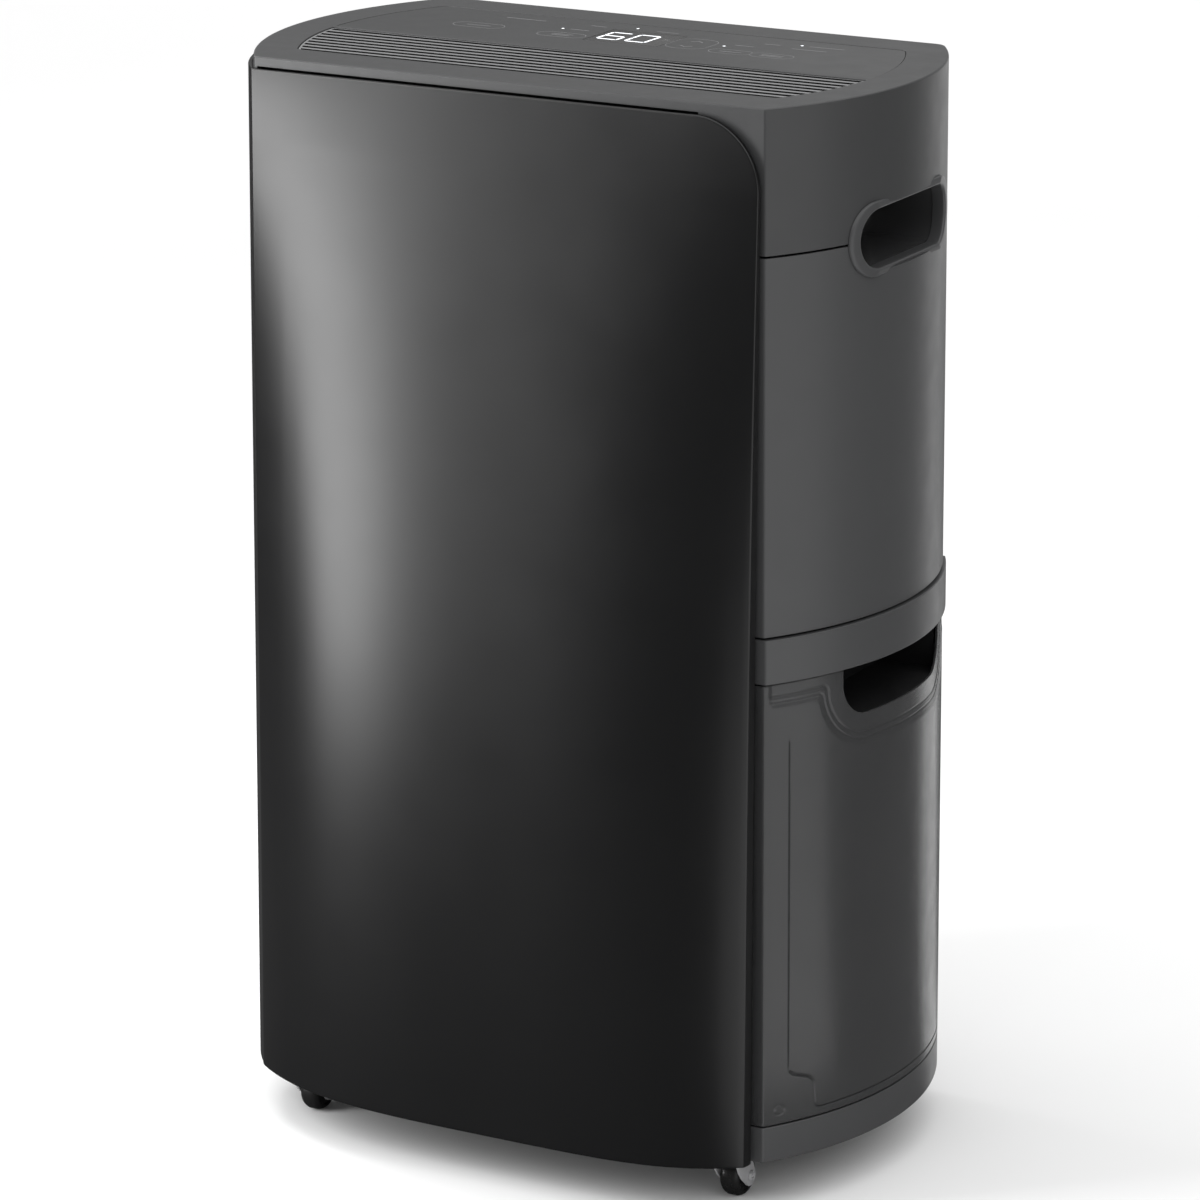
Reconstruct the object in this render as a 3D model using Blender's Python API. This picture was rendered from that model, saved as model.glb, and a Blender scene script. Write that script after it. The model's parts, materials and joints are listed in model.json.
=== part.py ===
"""Portable dehumidifier: upright plastic cabinet on four swivel casters.

Metres, +Z up. The front faces -Y and the bucket slides out at +X. The origin is on the floor, under the
middle of the bounding box. Every visible or working piece is its own object, named after the piece.
"""

import math

import bmesh
import bpy
from mathutils import Vector

# ---------------------------------------------------------------- driving dimensions
GAP = 0.0003  # smallest air gap between two pieces
SEAM = 0.0012  # visible shadow gap between two covers
WALL = 0.0025  # moulded cover thickness

FRONT_Y = -0.101  # front plane of the cabinet, behind the front panel
BACK_Y = 0.119
MID_Y = (FRONT_Y + BACK_Y) / 2
HALF_WIDTH_TOP = 0.1603  # half the flat front, at the top rim
DRAFT = 0.006  # each side grows this much per metre downwards
BULGE = 0.0345  # how far each side bows out past the front corner
HALF_DEPTH = (BACK_Y - FRONT_Y) / 2
ARC_RADIUS = (HALF_DEPTH**2 + BULGE**2) / (2 * BULGE)
REAR_SEAM_Y = 0.105  # where the side covers end and the rear cover wraps round
CORNER_RADIUS_REAR = 0.010
CORNER_RADIUS_FRONT = 0.0022

# heights up to TOP_Z are above the cabinet's own datum, which is CABINET_LIFT above the floor
BASE_Z = 0.017  # underside of the base pan
BASE_TOP_Z = 0.0379
BASE_SKIRT = 0.0022  # wall of the base pan, thin enough to clear the swivelling wheels
BASE_FLOOR = 0.0040
TANK_TOP_Z = 0.2957
BAND_LOW_Z = 0.2965
BAND_TOP_Z = 0.3217
DECK_Z = 0.3255  # underside of the deck between the bucket bay and the coils
DECK_TOP_Z = 0.3285
UPPER_SEAM_Z = 0.5345  # between the side covers and the top cover
TOP_Z = 0.6153
TOP_PLATE = 0.003

ARC_STEPS = 12
ROUND_STEPS = 16

PANEL_EDGE_X = 0.1588  # right edge of the front panel
PANEL_THICK = 0.0024
PANEL_TOP_Z = 0.6089
PANEL_LOW_Z = 0.0175
PANEL_TOP_STANDOFF = 0.0032
PANEL_PEAK_X = 0.020  # where the bowed lower edge stands furthest forward
PANEL_PEAK_Y = -0.1410
PANEL_EDGE_LOW_Y = -0.1125
PANEL_LEFT_X = -0.1690
PANEL_LEFT_LOW_Y = -0.1004
PANEL_WRAP_OFFSET = 0.0036  # the panel lies this far outside the left side
PANEL_WRAP_END_Y = -0.058
PANEL_CORNER_RADIUS = 0.040
PANEL_BOW_POWER = 3.9
PANEL_LEAN_POWER = 2.4

HANDLE_Z = 0.5348
HANDLE_LENGTH = 0.104
HANDLE_HEIGHT = 0.033
HANDLE_FLOOR_X = 0.143

TANK_INNER_X = 0.012
TANK_FRONT_Y = -0.0965
TANK_BACK_Y = 0.104
TANK_WALL = 0.0024
CORNER_RETURN = 0.012  # the side pieces turn this far onto the front
NOTCH_HALF = 0.060
NOTCH_LOW_Z = 0.267
NOTCH_RADIUS = 0.020
DRIP_X = 0.080
DRIP_Y = 0.069

RIM_INSET = 0.024  # the grille and control panel lie this far inside the top's curved sides
GRILLE_FRONT_Y = -0.070
GRILLE_BACK_Y = 0.000
GRILLE_GAPS = 9
GRILLE_GAP = 0.0032
PANEL_KEYS_FRONT_Y = 0.0045
PANEL_KEYS_BACK_Y = 0.091
DISPLAY_LOW = (-0.026, 0.034)
DISPLAY_HIGH = (0.022, 0.071)

COIL_HALF_WIDTH = 0.125
COIL_LOW_Z = 0.350
COIL_TOP_Z = 0.510
CONDENSER_Y = (0.012, 0.042)
EVAPORATOR_Y = (0.054, 0.084)
FAN_Z = 0.447
FAN_RADIUS = 0.074
SCROLL_Y = (-0.064, -0.006)
SCROLL_TOP_Z = 0.555

DRAIN_XZ = (0.100, 0.338)  # the hose outlet, level with the floor of the drain pan
GLAND_XZ = (-0.120, 0.075)  # where the supply cord would enter
HOT_HOLE_XY = (-0.151, 0.030)  # pipe holes in the deck
COLD_HOLE_XY = (-0.161, 0.064)
SENSOR_LOW = (0.126, 0.1080, 0.440)

COMPRESSOR_XY = (-0.085, 0.030)
COMPRESSOR_RADIUS = 0.052

INTAKE_Z = (0.352, 0.532)
INTAKE_HALF = 0.136
INTAKE_FACE_Y = 0.141

CABINET_LIFT = 0.012  # the finished cabinet is set on its casters this much above its datum
CASTER_X = 0.139
CASTER_FRONT_Y = -0.092
CASTER_BACK_Y = 0.080
WHEEL_RADIUS = 0.0125
WHEEL_HALF = 0.0060
FORK_PLATE_Z = (0.0255, 0.0268)  # 2 mm under the skirt, so that the fork can turn all the way round
TRAIL = 0.009
AXLE_RADIUS = 0.0020
STEM_RADIUS = 0.0040


# ---------------------------------------------------------------- scene and materials
def clear_scene():
    for thing in list(bpy.data.objects):
        bpy.data.objects.remove(thing)


def make_material(name, colour, roughness, metallic=0.0, alpha=1.0):
    material = bpy.data.materials.new(name)
    material.use_nodes = True
    shader = material.node_tree.nodes["Principled BSDF"]
    shader.inputs["Base Color"].default_value = (*colour, 1.0)
    shader.inputs["Roughness"].default_value = roughness
    shader.inputs["Metallic"].default_value = metallic
    shader.inputs["Alpha"].default_value = alpha
    return material


def make_materials():
    return {
        "cabinet": make_material("cabinet", (0.055, 0.055, 0.057), 0.45),
        "panel": make_material("panel", (0.010, 0.010, 0.011), 0.12),
        "black": make_material("black", (0.012, 0.012, 0.012), 0.35),
        "smoke": make_material("smoke", (0.060, 0.060, 0.062), 0.15, alpha=0.6),
        "slat": make_material("slat", (0.080, 0.080, 0.082), 0.40),
        "lens": make_material("lens", (0.008, 0.008, 0.009), 0.08),
        "steel": make_material("steel", (0.45, 0.45, 0.46), 0.35, 1.0),
        "copper": make_material("copper", (0.62, 0.30, 0.18), 0.30, 1.0),
        "fins": make_material("fins", (0.60, 0.61, 0.63), 0.35, 1.0),
        "enamel": make_material("enamel", (0.015, 0.015, 0.016), 0.30),
        "rubber": make_material("rubber", (0.020, 0.020, 0.020), 0.80),
        "white": make_material("white", (0.55, 0.56, 0.55), 0.50),
        "board": make_material("board", (0.03, 0.14, 0.06), 0.45),
        "mesh": make_material("mesh", (0.10, 0.10, 0.11), 0.60),
        "tyre": make_material("tyre", (0.018, 0.018, 0.018), 0.55),
    }


# ---------------------------------------------------------------- mesh helpers
def add_object(name, mesh, material):
    thing = bpy.data.objects.new(name, mesh)
    bpy.context.collection.objects.link(thing)
    mesh.materials.clear()
    mesh.materials.append(material)
    return thing


def loft(name, rings, material):
    """A closed solid through rings of points that all have the same count, with a flat face at each end."""
    work = bmesh.new()
    rows = [[work.verts.new(point) for point in ring] for ring in rings]
    for low, high in zip(rows, rows[1:]):
        for i in range(len(low)):
            j = (i + 1) % len(low)
            work.faces.new((low[i], low[j], high[j], high[i]))
    work.faces.new(list(reversed(rows[0])))
    work.faces.new(rows[-1])
    bmesh.ops.recalc_face_normals(work, faces=work.faces)
    mesh = bpy.data.meshes.new(name)
    work.to_mesh(mesh)
    work.free()
    return add_object(name, mesh, material)


def along(axis, across, up, place):
    """A point at `place` along the axis, from its two other coordinates in X, Y, Z order."""
    if axis == "x":
        return (place, across, up)
    if axis == "y":
        return (across, place, up)
    return (across, up, place)


def prism(name, outline, axis, start, end, material):
    rings = [[along(axis, a, b, place) for a, b in outline] for place in (start, end)]
    return loft(name, rings, material)


def drafted(name, outline_at, low, high, material):
    """A solid between two heights whose outline follows the cabinet's draft."""
    rings = [[(x, y, z) for x, y in outline_at(z)] for z in (low, high)]
    return loft(name, rings, material)


def box(name, low, high, material):
    outline = [(low[0], low[1]), (high[0], low[1]), (high[0], high[1]), (low[0], high[1])]
    return prism(name, outline, "z", low[2], high[2], material)


def circle(centre, radius, steps=ROUND_STEPS):
    turns = [2 * math.pi * i / steps for i in range(steps)]
    return [(centre[0] + radius * math.cos(a), centre[1] + radius * math.sin(a)) for a in turns]


def cylinder(name, axis, centre, radius, start, end, material, steps=ROUND_STEPS):
    return prism(name, circle(centre, radius, steps), axis, start, end, material)


def turned(name, profile, axis, centre, material, steps=ROUND_STEPS):
    """A solid of revolution. The profile is a closed loop of (radius, place along the axis)."""
    work = bmesh.new()
    rows = []
    for k in range(steps):
        angle = 2 * math.pi * k / steps
        row = []
        for radius, place in profile:
            across = centre[0] + radius * math.cos(angle)
            up = centre[1] + radius * math.sin(angle)
            row.append(work.verts.new(along(axis, across, up, place)))
        rows.append(row)
    count = len(profile)
    for k in range(steps):
        row, after = rows[k], rows[(k + 1) % steps]
        for i in range(count):
            j = (i + 1) % count
            work.faces.new((row[i], row[j], after[j], after[i]))
    bmesh.ops.remove_doubles(work, verts=work.verts, dist=1e-6)
    bmesh.ops.recalc_face_normals(work, faces=work.faces)
    mesh = bpy.data.meshes.new(name)
    work.to_mesh(mesh)
    work.free()
    return add_object(name, mesh, material)


def combine(target, tool, operation):
    """Applies one exact Boolean and removes the tool."""
    modifier = target.modifiers.new("combine", "BOOLEAN")
    modifier.operation = operation
    modifier.solver = "EXACT"
    modifier.object = tool
    graph = bpy.context.evaluated_depsgraph_get()
    mesh = bpy.data.meshes.new_from_object(target.evaluated_get(graph))
    target.modifiers.clear()
    target.data = mesh
    bpy.data.objects.remove(tool)
    return target


def cut(target, *tools):
    for tool in tools:
        combine(target, tool, "DIFFERENCE")
    return target


def join(target, *tools):
    for tool in tools:
        combine(target, tool, "UNION")
    return target


def keep_inside(target, tool):
    return combine(target, tool, "INTERSECT")


def set_origin(thing, point):
    thing.data.transform(thing.matrix_world.Translation(-Vector(point)))
    thing.location = point
    return thing


def smooth_route(points, steps=3):
    """Points along a Catmull-Rom curve through the route."""
    knots = [Vector(p) for p in points]
    knots = [2 * knots[0] - knots[1], *knots, 2 * knots[-1] - knots[-2]]
    route = []
    for k in range(1, len(knots) - 2):
        before, here, there, after = knots[k - 1 : k + 3]
        for i in range(steps):
            t = i / steps
            route.append(
                0.5
                * (
                    2 * here
                    + (there - before) * t
                    + (2 * before - 5 * here + 4 * there - after) * t**2
                    + (3 * here - before - 3 * there + after) * t**3
                )
            )
    route.append(knots[-2])
    return route


def tube(name, points, radius, material):
    """A pipe along a smooth route, with a short straight stub at each end."""
    curve = bpy.data.curves.new(name, "CURVE")
    curve.dimensions = "3D"
    curve.bevel_depth = radius
    curve.bevel_resolution = 1
    curve.use_fill_caps = True
    start, end = Vector(points[0]), Vector(points[-1])
    lead = start + (Vector(points[1]) - start).normalized() * 2 * radius
    tail = end + (Vector(points[-2]) - end).normalized() * 2 * radius
    route = [start, *smooth_route([lead, *points[1:-1], tail]), end]
    spline = curve.splines.new("POLY")
    spline.points.add(len(route) - 1)
    for knot, point in zip(spline.points, route):
        knot.co = (*point, 1.0)
    thing = bpy.data.objects.new(name, curve)
    bpy.context.collection.objects.link(thing)
    curve.materials.append(material)
    return thing


# ---------------------------------------------------------------- plan outlines, seen from above
def half_width(z):
    return HALF_WIDTH_TOP + DRAFT * (TOP_Z - z)


def arc_centre_x(z):
    return half_width(z) + BULGE - ARC_RADIUS


def side_x(z, y, inset=0.0):
    """X of the right side's wall at this height and depth."""
    return arc_centre_x(z) + math.sqrt((ARC_RADIUS - inset) ** 2 - (y - MID_Y) ** 2)


def side_arc(z, inset, from_y, to_y, side=1, steps=ARC_STEPS):
    radius = ARC_RADIUS - inset
    first = math.asin((from_y - MID_Y) / radius)
    last = math.asin((to_y - MID_Y) / radius)
    points = []
    for i in range(steps + 1):
        angle = first + (last - first) * i / steps
        points.append((side * (arc_centre_x(z) + radius * math.cos(angle)), MID_Y + radius * math.sin(angle)))
    return points


def fillet(before, corner, after, radius, steps=3):
    """Points of a round of this radius in place of the corner."""
    here = Vector(corner)
    towards_before = (Vector(before) - here).normalized()
    towards_after = (Vector(after) - here).normalized()
    half = math.acos(max(-1.0, min(1.0, towards_before.dot(towards_after)))) / 2
    reach = radius / math.tan(half)
    start = here + towards_before * reach
    end = here + towards_after * reach
    centre = here + (towards_before + towards_after).normalized() * radius / math.sin(half)
    points = []
    for i in range(steps + 1):
        chord = start.lerp(end, i / steps) - centre
        points.append(tuple(centre + chord.normalized() * radius))
    return points


def rounded(points, radii):
    """The outline with the corners named by index replaced by rounds."""
    result = []
    for i, point in enumerate(points):
        if i in radii:
            result += fillet(points[i - 1], point, points[(i + 1) % len(points)], radii[i])
        else:
            result.append(point)
    return result


def plan(z, inset=0.0):
    """The whole cabinet's outline: straight front and back, bowed sides, round rear corners."""
    front = FRONT_Y + inset
    back = BACK_Y - inset
    right = side_arc(z, inset, front, back)
    left = side_arc(z, inset, back, front, side=-1)
    front_round = max(CORNER_RADIUS_FRONT - inset, GAP)
    back_round = max(CORNER_RADIUS_REAR - inset, GAP)
    last = len(right) - 1
    radii = {0: front_round, last: back_round, last + 1: back_round, 2 * last + 1: front_round}
    return rounded(right + left, radii)


def side_region(z, inset, inner_x, from_y, to_y, side=1):
    """Between a straight inner line and the curved side."""
    return [(side * inner_x, from_y), *side_arc(z, inset, from_y, to_y, side), (side * inner_x, to_y)]


def across_region(z, inset, from_y, to_y):
    """Between the two curved sides, such as the grille's and the control panel's outlines."""
    return side_arc(z, inset, from_y, to_y) + side_arc(z, inset, to_y, from_y, side=-1)


def pill(centre, length, height, steps=7):
    """A slot shape with round ends, long along its first coordinate."""
    radius = height / 2
    reach = length / 2 - radius
    points = []
    for sign, start in ((1, -math.pi / 2), (-1, math.pi / 2)):
        for i in range(steps + 1):
            angle = start + math.pi * i / steps
            x = centre[0] + sign * reach + radius * math.cos(angle)
            points.append((x, centre[1] + radius * math.sin(angle)))
    return points


def offset_outline(points, distance):
    """A counter-clockwise outline moved outwards by mitred corners."""
    moved = []
    for i, point in enumerate(points):
        here = Vector(point)
        arriving = (here - Vector(points[i - 1])).normalized()
        leaving = (Vector(points[(i + 1) % len(points)]) - here).normalized()
        first = Vector((arriving.y, -arriving.x))
        second = Vector((leaving.y, -leaving.x))
        middle = (first + second).normalized()
        moved.append(tuple(here + middle * distance / max(middle.dot(first), 0.5)))
    return moved


# ---------------------------------------------------------------- cabinet
def handle_prism(name, side, length, height, material, start=0.12, end=0.22):
    return prism(name, pill((MID_Y, HANDLE_Z), length, height), "x", side * start, side * end, material)


def make_base_pan(m):
    pan = drafted("base_pan", plan, BASE_Z, BASE_TOP_Z, m["cabinet"])
    hollow_top = BASE_TOP_Z - BASE_FLOOR
    hollow = drafted("hollow", lambda z: plan(z, BASE_SKIRT), BASE_Z - 0.001, hollow_top, m["black"])
    cut(pan, hollow)
    for x, y in caster_places():
        cut(pan, cylinder("hole", "z", (x, y), STEM_RADIUS + 0.0001, BASE_Z, 0.05, m["black"]))
    return pan


def side_cover_outline(z, side):
    outer = side_arc(z, 0.0, FRONT_Y, REAR_SEAM_Y - GAP, side)
    inner = side_arc(z, WALL, REAR_SEAM_Y - GAP, FRONT_Y + WALL, side)
    start_x = side * (half_width(z) - CORNER_RETURN)
    points = [(start_x, FRONT_Y), *outer, *inner, (start_x, FRONT_Y + WALL)]
    return rounded(points, {1: CORNER_RADIUS_FRONT})


def make_side_cover(m, name, side, low):
    top = UPPER_SEAM_Z - SEAM / 2
    cover = drafted(name, lambda z: side_cover_outline(z, side), low, top, m["cabinet"])
    return cut(cover, handle_prism("hole", side, 0.112, 0.037, m["black"]))


def rear_cover_outline(z):
    def half(inset, side):
        back = BACK_Y - inset
        arc = side_arc(z, inset, REAR_SEAM_Y, back, side, steps=3)
        near = (side * half_width(z) / 2, back)
        round_radius = CORNER_RADIUS_REAR - inset
        return arc[:-1] + fillet(arc[-2], arc[-1], near, round_radius)

    outer = half(0.0, 1) + half(0.0, -1)[::-1]
    inner = half(WALL, -1) + half(WALL, 1)[::-1]
    return outer + inner


def make_rear_cover(m):
    low = BASE_TOP_Z + GAP
    top = UPPER_SEAM_Z - SEAM / 2
    cover = drafted("rear_cover", rear_cover_outline, low, top, m["cabinet"])
    window = box("window", (-0.122, 0.10, 0.360), (0.122, 0.13, 0.520), m["black"])
    drain = cylinder("hole", "y", DRAIN_XZ, 0.0083, 0.10, 0.13, m["black"])
    gland = cylinder("hole", "y", GLAND_XZ, 0.0103, 0.10, 0.13, m["black"])
    return cut(cover, window, drain, gland)


def make_front_frame(m):
    def outline(z):
        edge = half_width(z) - CORNER_RETURN - GAP
        back = FRONT_Y + WALL
        return [(-edge, FRONT_Y), (edge, FRONT_Y), (edge, back), (-edge, back)]

    return drafted("front_frame", outline, BASE_TOP_Z + GAP, UPPER_SEAM_Z - SEAM / 2, m["black"])


def make_top_cover(m):
    low = UPPER_SEAM_Z + SEAM / 2
    chamfer = 0.0012
    rings = []
    for z, inset in ((low, 0.0), (TOP_Z - chamfer, 0.0), (TOP_Z, chamfer)):
        rings.append([(x, y, z) for x, y in plan(z, inset)])
    cover = loft("top_cover", rings, m["cabinet"])
    inside = drafted("inside", lambda z: plan(z, WALL), low - 0.001, TOP_Z - TOP_PLATE, m["black"])
    outlet = drafted(
        "outlet",
        lambda z: across_region(TOP_Z, RIM_INSET, GRILLE_FRONT_Y, GRILLE_BACK_Y),
        0.60,
        0.63,
        m["black"],
    )
    recess = drafted(
        "recess",
        lambda z: across_region(TOP_Z, RIM_INSET, PANEL_KEYS_FRONT_Y, PANEL_KEYS_BACK_Y),
        TOP_Z - 0.0014,
        0.63,
        m["black"],
    )
    margin = 0.003
    display = box(
        "display",
        (DISPLAY_LOW[0] + margin, DISPLAY_LOW[1] + margin, 0.60),
        (DISPLAY_HIGH[0] - margin, DISPLAY_HIGH[1] - margin, 0.63),
        m["black"],
    )
    cut(cover, inside, outlet, recess, display)
    for side in (1, -1):
        cut(cover, handle_prism("hole", side, 0.112, 0.037, m["black"]))
    return cover


def make_handle(m, word, side):
    """The finger cup and the raised ring round its mouth, both following the bowed side."""

    def shell(name, inner_inset, outer_inset):
        def outline(z):
            outer = side_arc(z, outer_inset, -0.08, 0.098, side)
            if inner_inset is None:
                return [(side * HANDLE_FLOOR_X, -0.08), *outer, (side * HANDLE_FLOOR_X, 0.098)]
            return outer + side_arc(z, inner_inset, 0.098, -0.08, side)

        return drafted(name, outline, 0.50, 0.57, m["black"])

    flange = handle_prism("handle_bezel_" + word, side, 0.121, 0.042, m["cabinet"])
    keep_inside(flange, shell("shell", -GAP, -0.0020))
    neck = handle_prism("neck", side, 0.1114, 0.0364, m["cabinet"])
    keep_inside(neck, shell("shell", 0.0060, -0.0010))
    bezel = join(flange, neck)
    cut(bezel, handle_prism("mouth", side, HANDLE_LENGTH, HANDLE_HEIGHT, m["cabinet"]))
    cup = handle_prism("handle_cup_" + word, side, 0.1114, 0.0364, m["black"])
    keep_inside(cup, shell("shell", None, 0.0063))
    floor = HANDLE_FLOOR_X + 0.002
    return bezel, cut(cup, handle_prism("mouth", side, 0.1055, 0.0324, m["black"], start=floor))


# ---------------------------------------------------------------- front panel
def panel_lean(z):
    """0 at the panel's top edge, 1 at its lower edge."""
    share = (z - PANEL_LOW_Z) / (PANEL_TOP_Z - PANEL_LOW_Z)
    return 1.0 - max(share, 0.0) ** PANEL_LEAN_POWER


def panel_front_y(x, z):
    """The bowed lower edge fades into a straight upper edge."""
    top = FRONT_Y - PANEL_TOP_STANDOFF
    if x > PANEL_PEAK_X:
        share = (x - PANEL_PEAK_X) / (PANEL_EDGE_X - PANEL_PEAK_X)
        drop = PANEL_EDGE_LOW_Y - PANEL_PEAK_Y
    else:
        share = (PANEL_PEAK_X - x) / (PANEL_PEAK_X - PANEL_LEFT_X)
        drop = PANEL_LEFT_LOW_Y - PANEL_PEAK_Y
    low = PANEL_PEAK_Y + drop * share**PANEL_BOW_POWER
    return top + panel_lean(z) * (low - top)


def wrap_x(y, z, offset):
    return -side_x(z, y, -offset)


def panel_corner(z):
    """Where the front surface meets the part that wraps round the left side."""
    low, high = -0.112, -0.070
    for _ in range(40):
        y = (low + high) / 2
        if panel_front_y(wrap_x(y, z, PANEL_WRAP_OFFSET), z) > y:
            low = y
        else:
            high = y
    return wrap_x(y, z, PANEL_WRAP_OFFSET), y


def panel_section(z_levels, station):
    """One closed vertical section: outer face, lower flange and inner face."""
    kind, share = station
    outer = []
    inner = []
    for z in z_levels:
        corner_x, corner_y = panel_corner(z)
        if kind == "wrap":
            y = PANEL_WRAP_END_Y + (corner_y - PANEL_WRAP_END_Y) * share
            outer.append((wrap_x(y, z, PANEL_WRAP_OFFSET), y, z))
            inner.append((wrap_x(y, z, PANEL_WRAP_OFFSET - PANEL_THICK), y, z))
            foot = (wrap_x(y, z, 0.0007), y)
        else:
            x = corner_x + (PANEL_EDGE_X - corner_x) * share
            y = panel_front_y(x, z)
            thick = PANEL_THICK
            if kind == "edge":
                thick = 0.6 * (FRONT_Y - y)
            outer.append((x, y, z))
            inner.append((max(x, corner_x + PANEL_THICK), y + thick, z))
            foot = (max(x, corner_x + PANEL_THICK), FRONT_Y - 0.0007)
    low = z_levels[-1]
    step = low + PANEL_THICK
    inner[-1] = (inner[-1][0], inner[-1][1], step)
    return outer + [(*foot, low), (*foot, step)] + inner[::-1]


def make_front_panel(m):
    levels = 9
    z_levels = [PANEL_TOP_Z + (PANEL_LOW_Z - PANEL_TOP_Z) * i / levels for i in range(levels + 1)]
    stations = [("wrap", i / 4) for i in range(4)]
    stations += [("front", (i / 14) ** 1.5 * 0.965) for i in range(15)]
    stations += [("edge", 0.967), ("edge", 1.0)]
    panel = loft("front_panel", [panel_section(z_levels, s) for s in stations], m["panel"])
    radius = PANEL_CORNER_RADIUS
    centre = (PANEL_EDGE_X - radius, PANEL_TOP_Z - radius)
    outline = [(PANEL_EDGE_X + 0.01, centre[1]), (PANEL_EDGE_X + 0.01, PANEL_TOP_Z + 0.01)]
    outline.append((centre[0], PANEL_TOP_Z + 0.01))
    for i in range(11):
        angle = math.pi / 2 * (1 - i / 10)
        outline.append((centre[0] + radius * math.cos(angle), centre[1] + radius * math.sin(angle)))
    return cut(panel, prism("corner", outline, "y", -0.15, -0.09, m["panel"]))


# ---------------------------------------------------------------- top: outlet grille and controls
def make_outlet_grille(m):
    fit = RIM_INSET + 0.0004
    low, top = TOP_Z - 0.0046, TOP_Z - 0.0006
    grille = drafted(
        "outlet_grille",
        lambda z: across_region(TOP_Z, fit, GRILLE_FRONT_Y + 0.0004, GRILLE_BACK_Y - 0.0004),
        low,
        top,
        m["slat"],
    )
    first = GRILLE_FRONT_Y + 0.0015
    pitch = (GRILLE_BACK_Y - 0.0015 - GRILLE_GAP - first) / (GRILLE_GAPS - 1)
    for i in range(GRILLE_GAPS):
        front = first + i * pitch
        back = front + GRILLE_GAP
        ends = [side_x(TOP_Z, y, fit + 0.0015) for y in (front, back)]
        outline = [(-ends[0], front), (ends[0], front), (ends[1], back), (-ends[1], back)]
        cut(grille, prism("slot", outline, "z", low - 0.001, top + 0.001, m["slat"]))
    return grille


def make_controls(m):
    """The flat touch panel, its display window, and the boards under the top."""
    fit = RIM_INSET + GAP
    low, top = TOP_Z - 0.0011, TOP_Z - 0.0002

    def outline(z):
        return across_region(TOP_Z, fit, PANEL_KEYS_FRONT_Y + GAP, PANEL_KEYS_BACK_Y - GAP)

    overlay = drafted("touch_panel", outline, low, top, m["cabinet"])
    cut(overlay, box("hole", (*DISPLAY_LOW, 0.60), (*DISPLAY_HIGH, 0.63), m["black"]))
    lens_low = (DISPLAY_LOW[0] + GAP, DISPLAY_LOW[1] + GAP, low)
    lens_high = (DISPLAY_HIGH[0] - GAP, DISPLAY_HIGH[1] - GAP, top)
    box("display_lens", lens_low, lens_high, m["lens"])
    board = box("control_board", (-0.120, 0.012, 0.6030), (0.120, 0.086, 0.6046), m["board"])
    join(board, box("digits", (-0.022, 0.038, 0.6040), (0.018, 0.067, 0.6112), m["board"]))


# ---------------------------------------------------------------- bucket
def bucket_outline(z, proud, inner_x):
    """The bucket's plan: flush with the cabinet at the side and front corner, set back elsewhere."""
    arc = side_arc(z, -proud, FRONT_Y - proud / 2, TANK_BACK_Y)
    corner_x = half_width(z) - CORNER_RETURN + SEAM / 2
    front = FRONT_Y - proud / 2
    points = [(inner_x, TANK_FRONT_Y), (corner_x, TANK_FRONT_Y), (corner_x, front), *arc]
    points.append((inner_x, TANK_BACK_Y))
    return rounded(points, {3: CORNER_RADIUS_FRONT})


def make_tank(m):
    low = BASE_TOP_Z + 0.0008
    tank = drafted("bucket_tank", lambda z: bucket_outline(z, 0.0, TANK_INNER_X), low, TANK_TOP_Z, m["smoke"])
    front = TANK_FRONT_Y + TANK_WALL
    back = TANK_BACK_Y - TANK_WALL

    def inside(z):
        return side_region(z, TANK_WALL, TANK_INNER_X + TANK_WALL, front, back)

    cut(tank, drafted("inside", inside, low + 0.0026, TANK_TOP_Z + 0.001, m["smoke"]))
    high = TANK_TOP_Z + 0.01
    left, right = MID_Y - NOTCH_HALF, MID_Y + NOTCH_HALF
    corners = [(left, high), (left, NOTCH_LOW_Z), (right, NOTCH_LOW_Z), (right, high)]
    notch = rounded(corners, {1: NOTCH_RADIUS, 2: NOTCH_RADIUS})
    return cut(tank, prism("notch", notch, "x", 0.165, 0.22, m["smoke"]))


def make_rim(m):
    """The raised band above the tank. It is the pull handle, and the lid clips into it."""
    proud = 0.0018
    rim = drafted(
        "bucket_rim", lambda z: bucket_outline(z, proud, TANK_INNER_X), BAND_LOW_Z, BAND_TOP_Z, m["cabinet"]
    )
    inset = 0.0035

    def inside(z):
        return side_region(z, inset, TANK_INNER_X + inset, TANK_FRONT_Y + inset, TANK_BACK_Y - inset)

    return cut(rim, drafted("inside", inside, BAND_LOW_Z - 0.001, BAND_TOP_Z + 0.001, m["cabinet"]))


def make_lid(m):
    fit = 0.0035 + GAP
    top = BAND_TOP_Z - 0.0010
    low = top - 0.0028

    def plate(z):
        return side_region(z, fit, TANK_INNER_X + fit, TANK_FRONT_Y + fit, TANK_BACK_Y - fit)

    lid = drafted("bucket_lid", plate, low, top, m["black"])
    pocket_low = 0.2632
    wall = 0.002
    left, right = MID_Y - 0.0630, MID_Y + 0.0630

    def pocket(z):
        return side_region(z, fit, 0.148, left, right)

    def hollow(z):
        return side_region(z, -0.01, 0.148 + wall, left + wall, right - wall)

    join(lid, drafted("pocket", pocket, pocket_low, low + 0.001, m["black"]))
    cut(lid, drafted("hollow", hollow, pocket_low + wall, low, m["black"]))
    cut(lid, cylinder("drip", "z", (DRIP_X, DRIP_Y), 0.012, 0.30, 0.33, m["black"]))
    for y in (-0.0105, 0.0075):
        join(lid, box("lug", (0.028, y, low - 0.014), (0.038, y + 0.003, low + 0.001), m["black"]))
    pin = cylinder("bore", "y", (0.033, low - 0.009), 0.00165, -0.02, 0.02, m["black"], steps=12)
    return cut(lid, pin)


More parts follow.
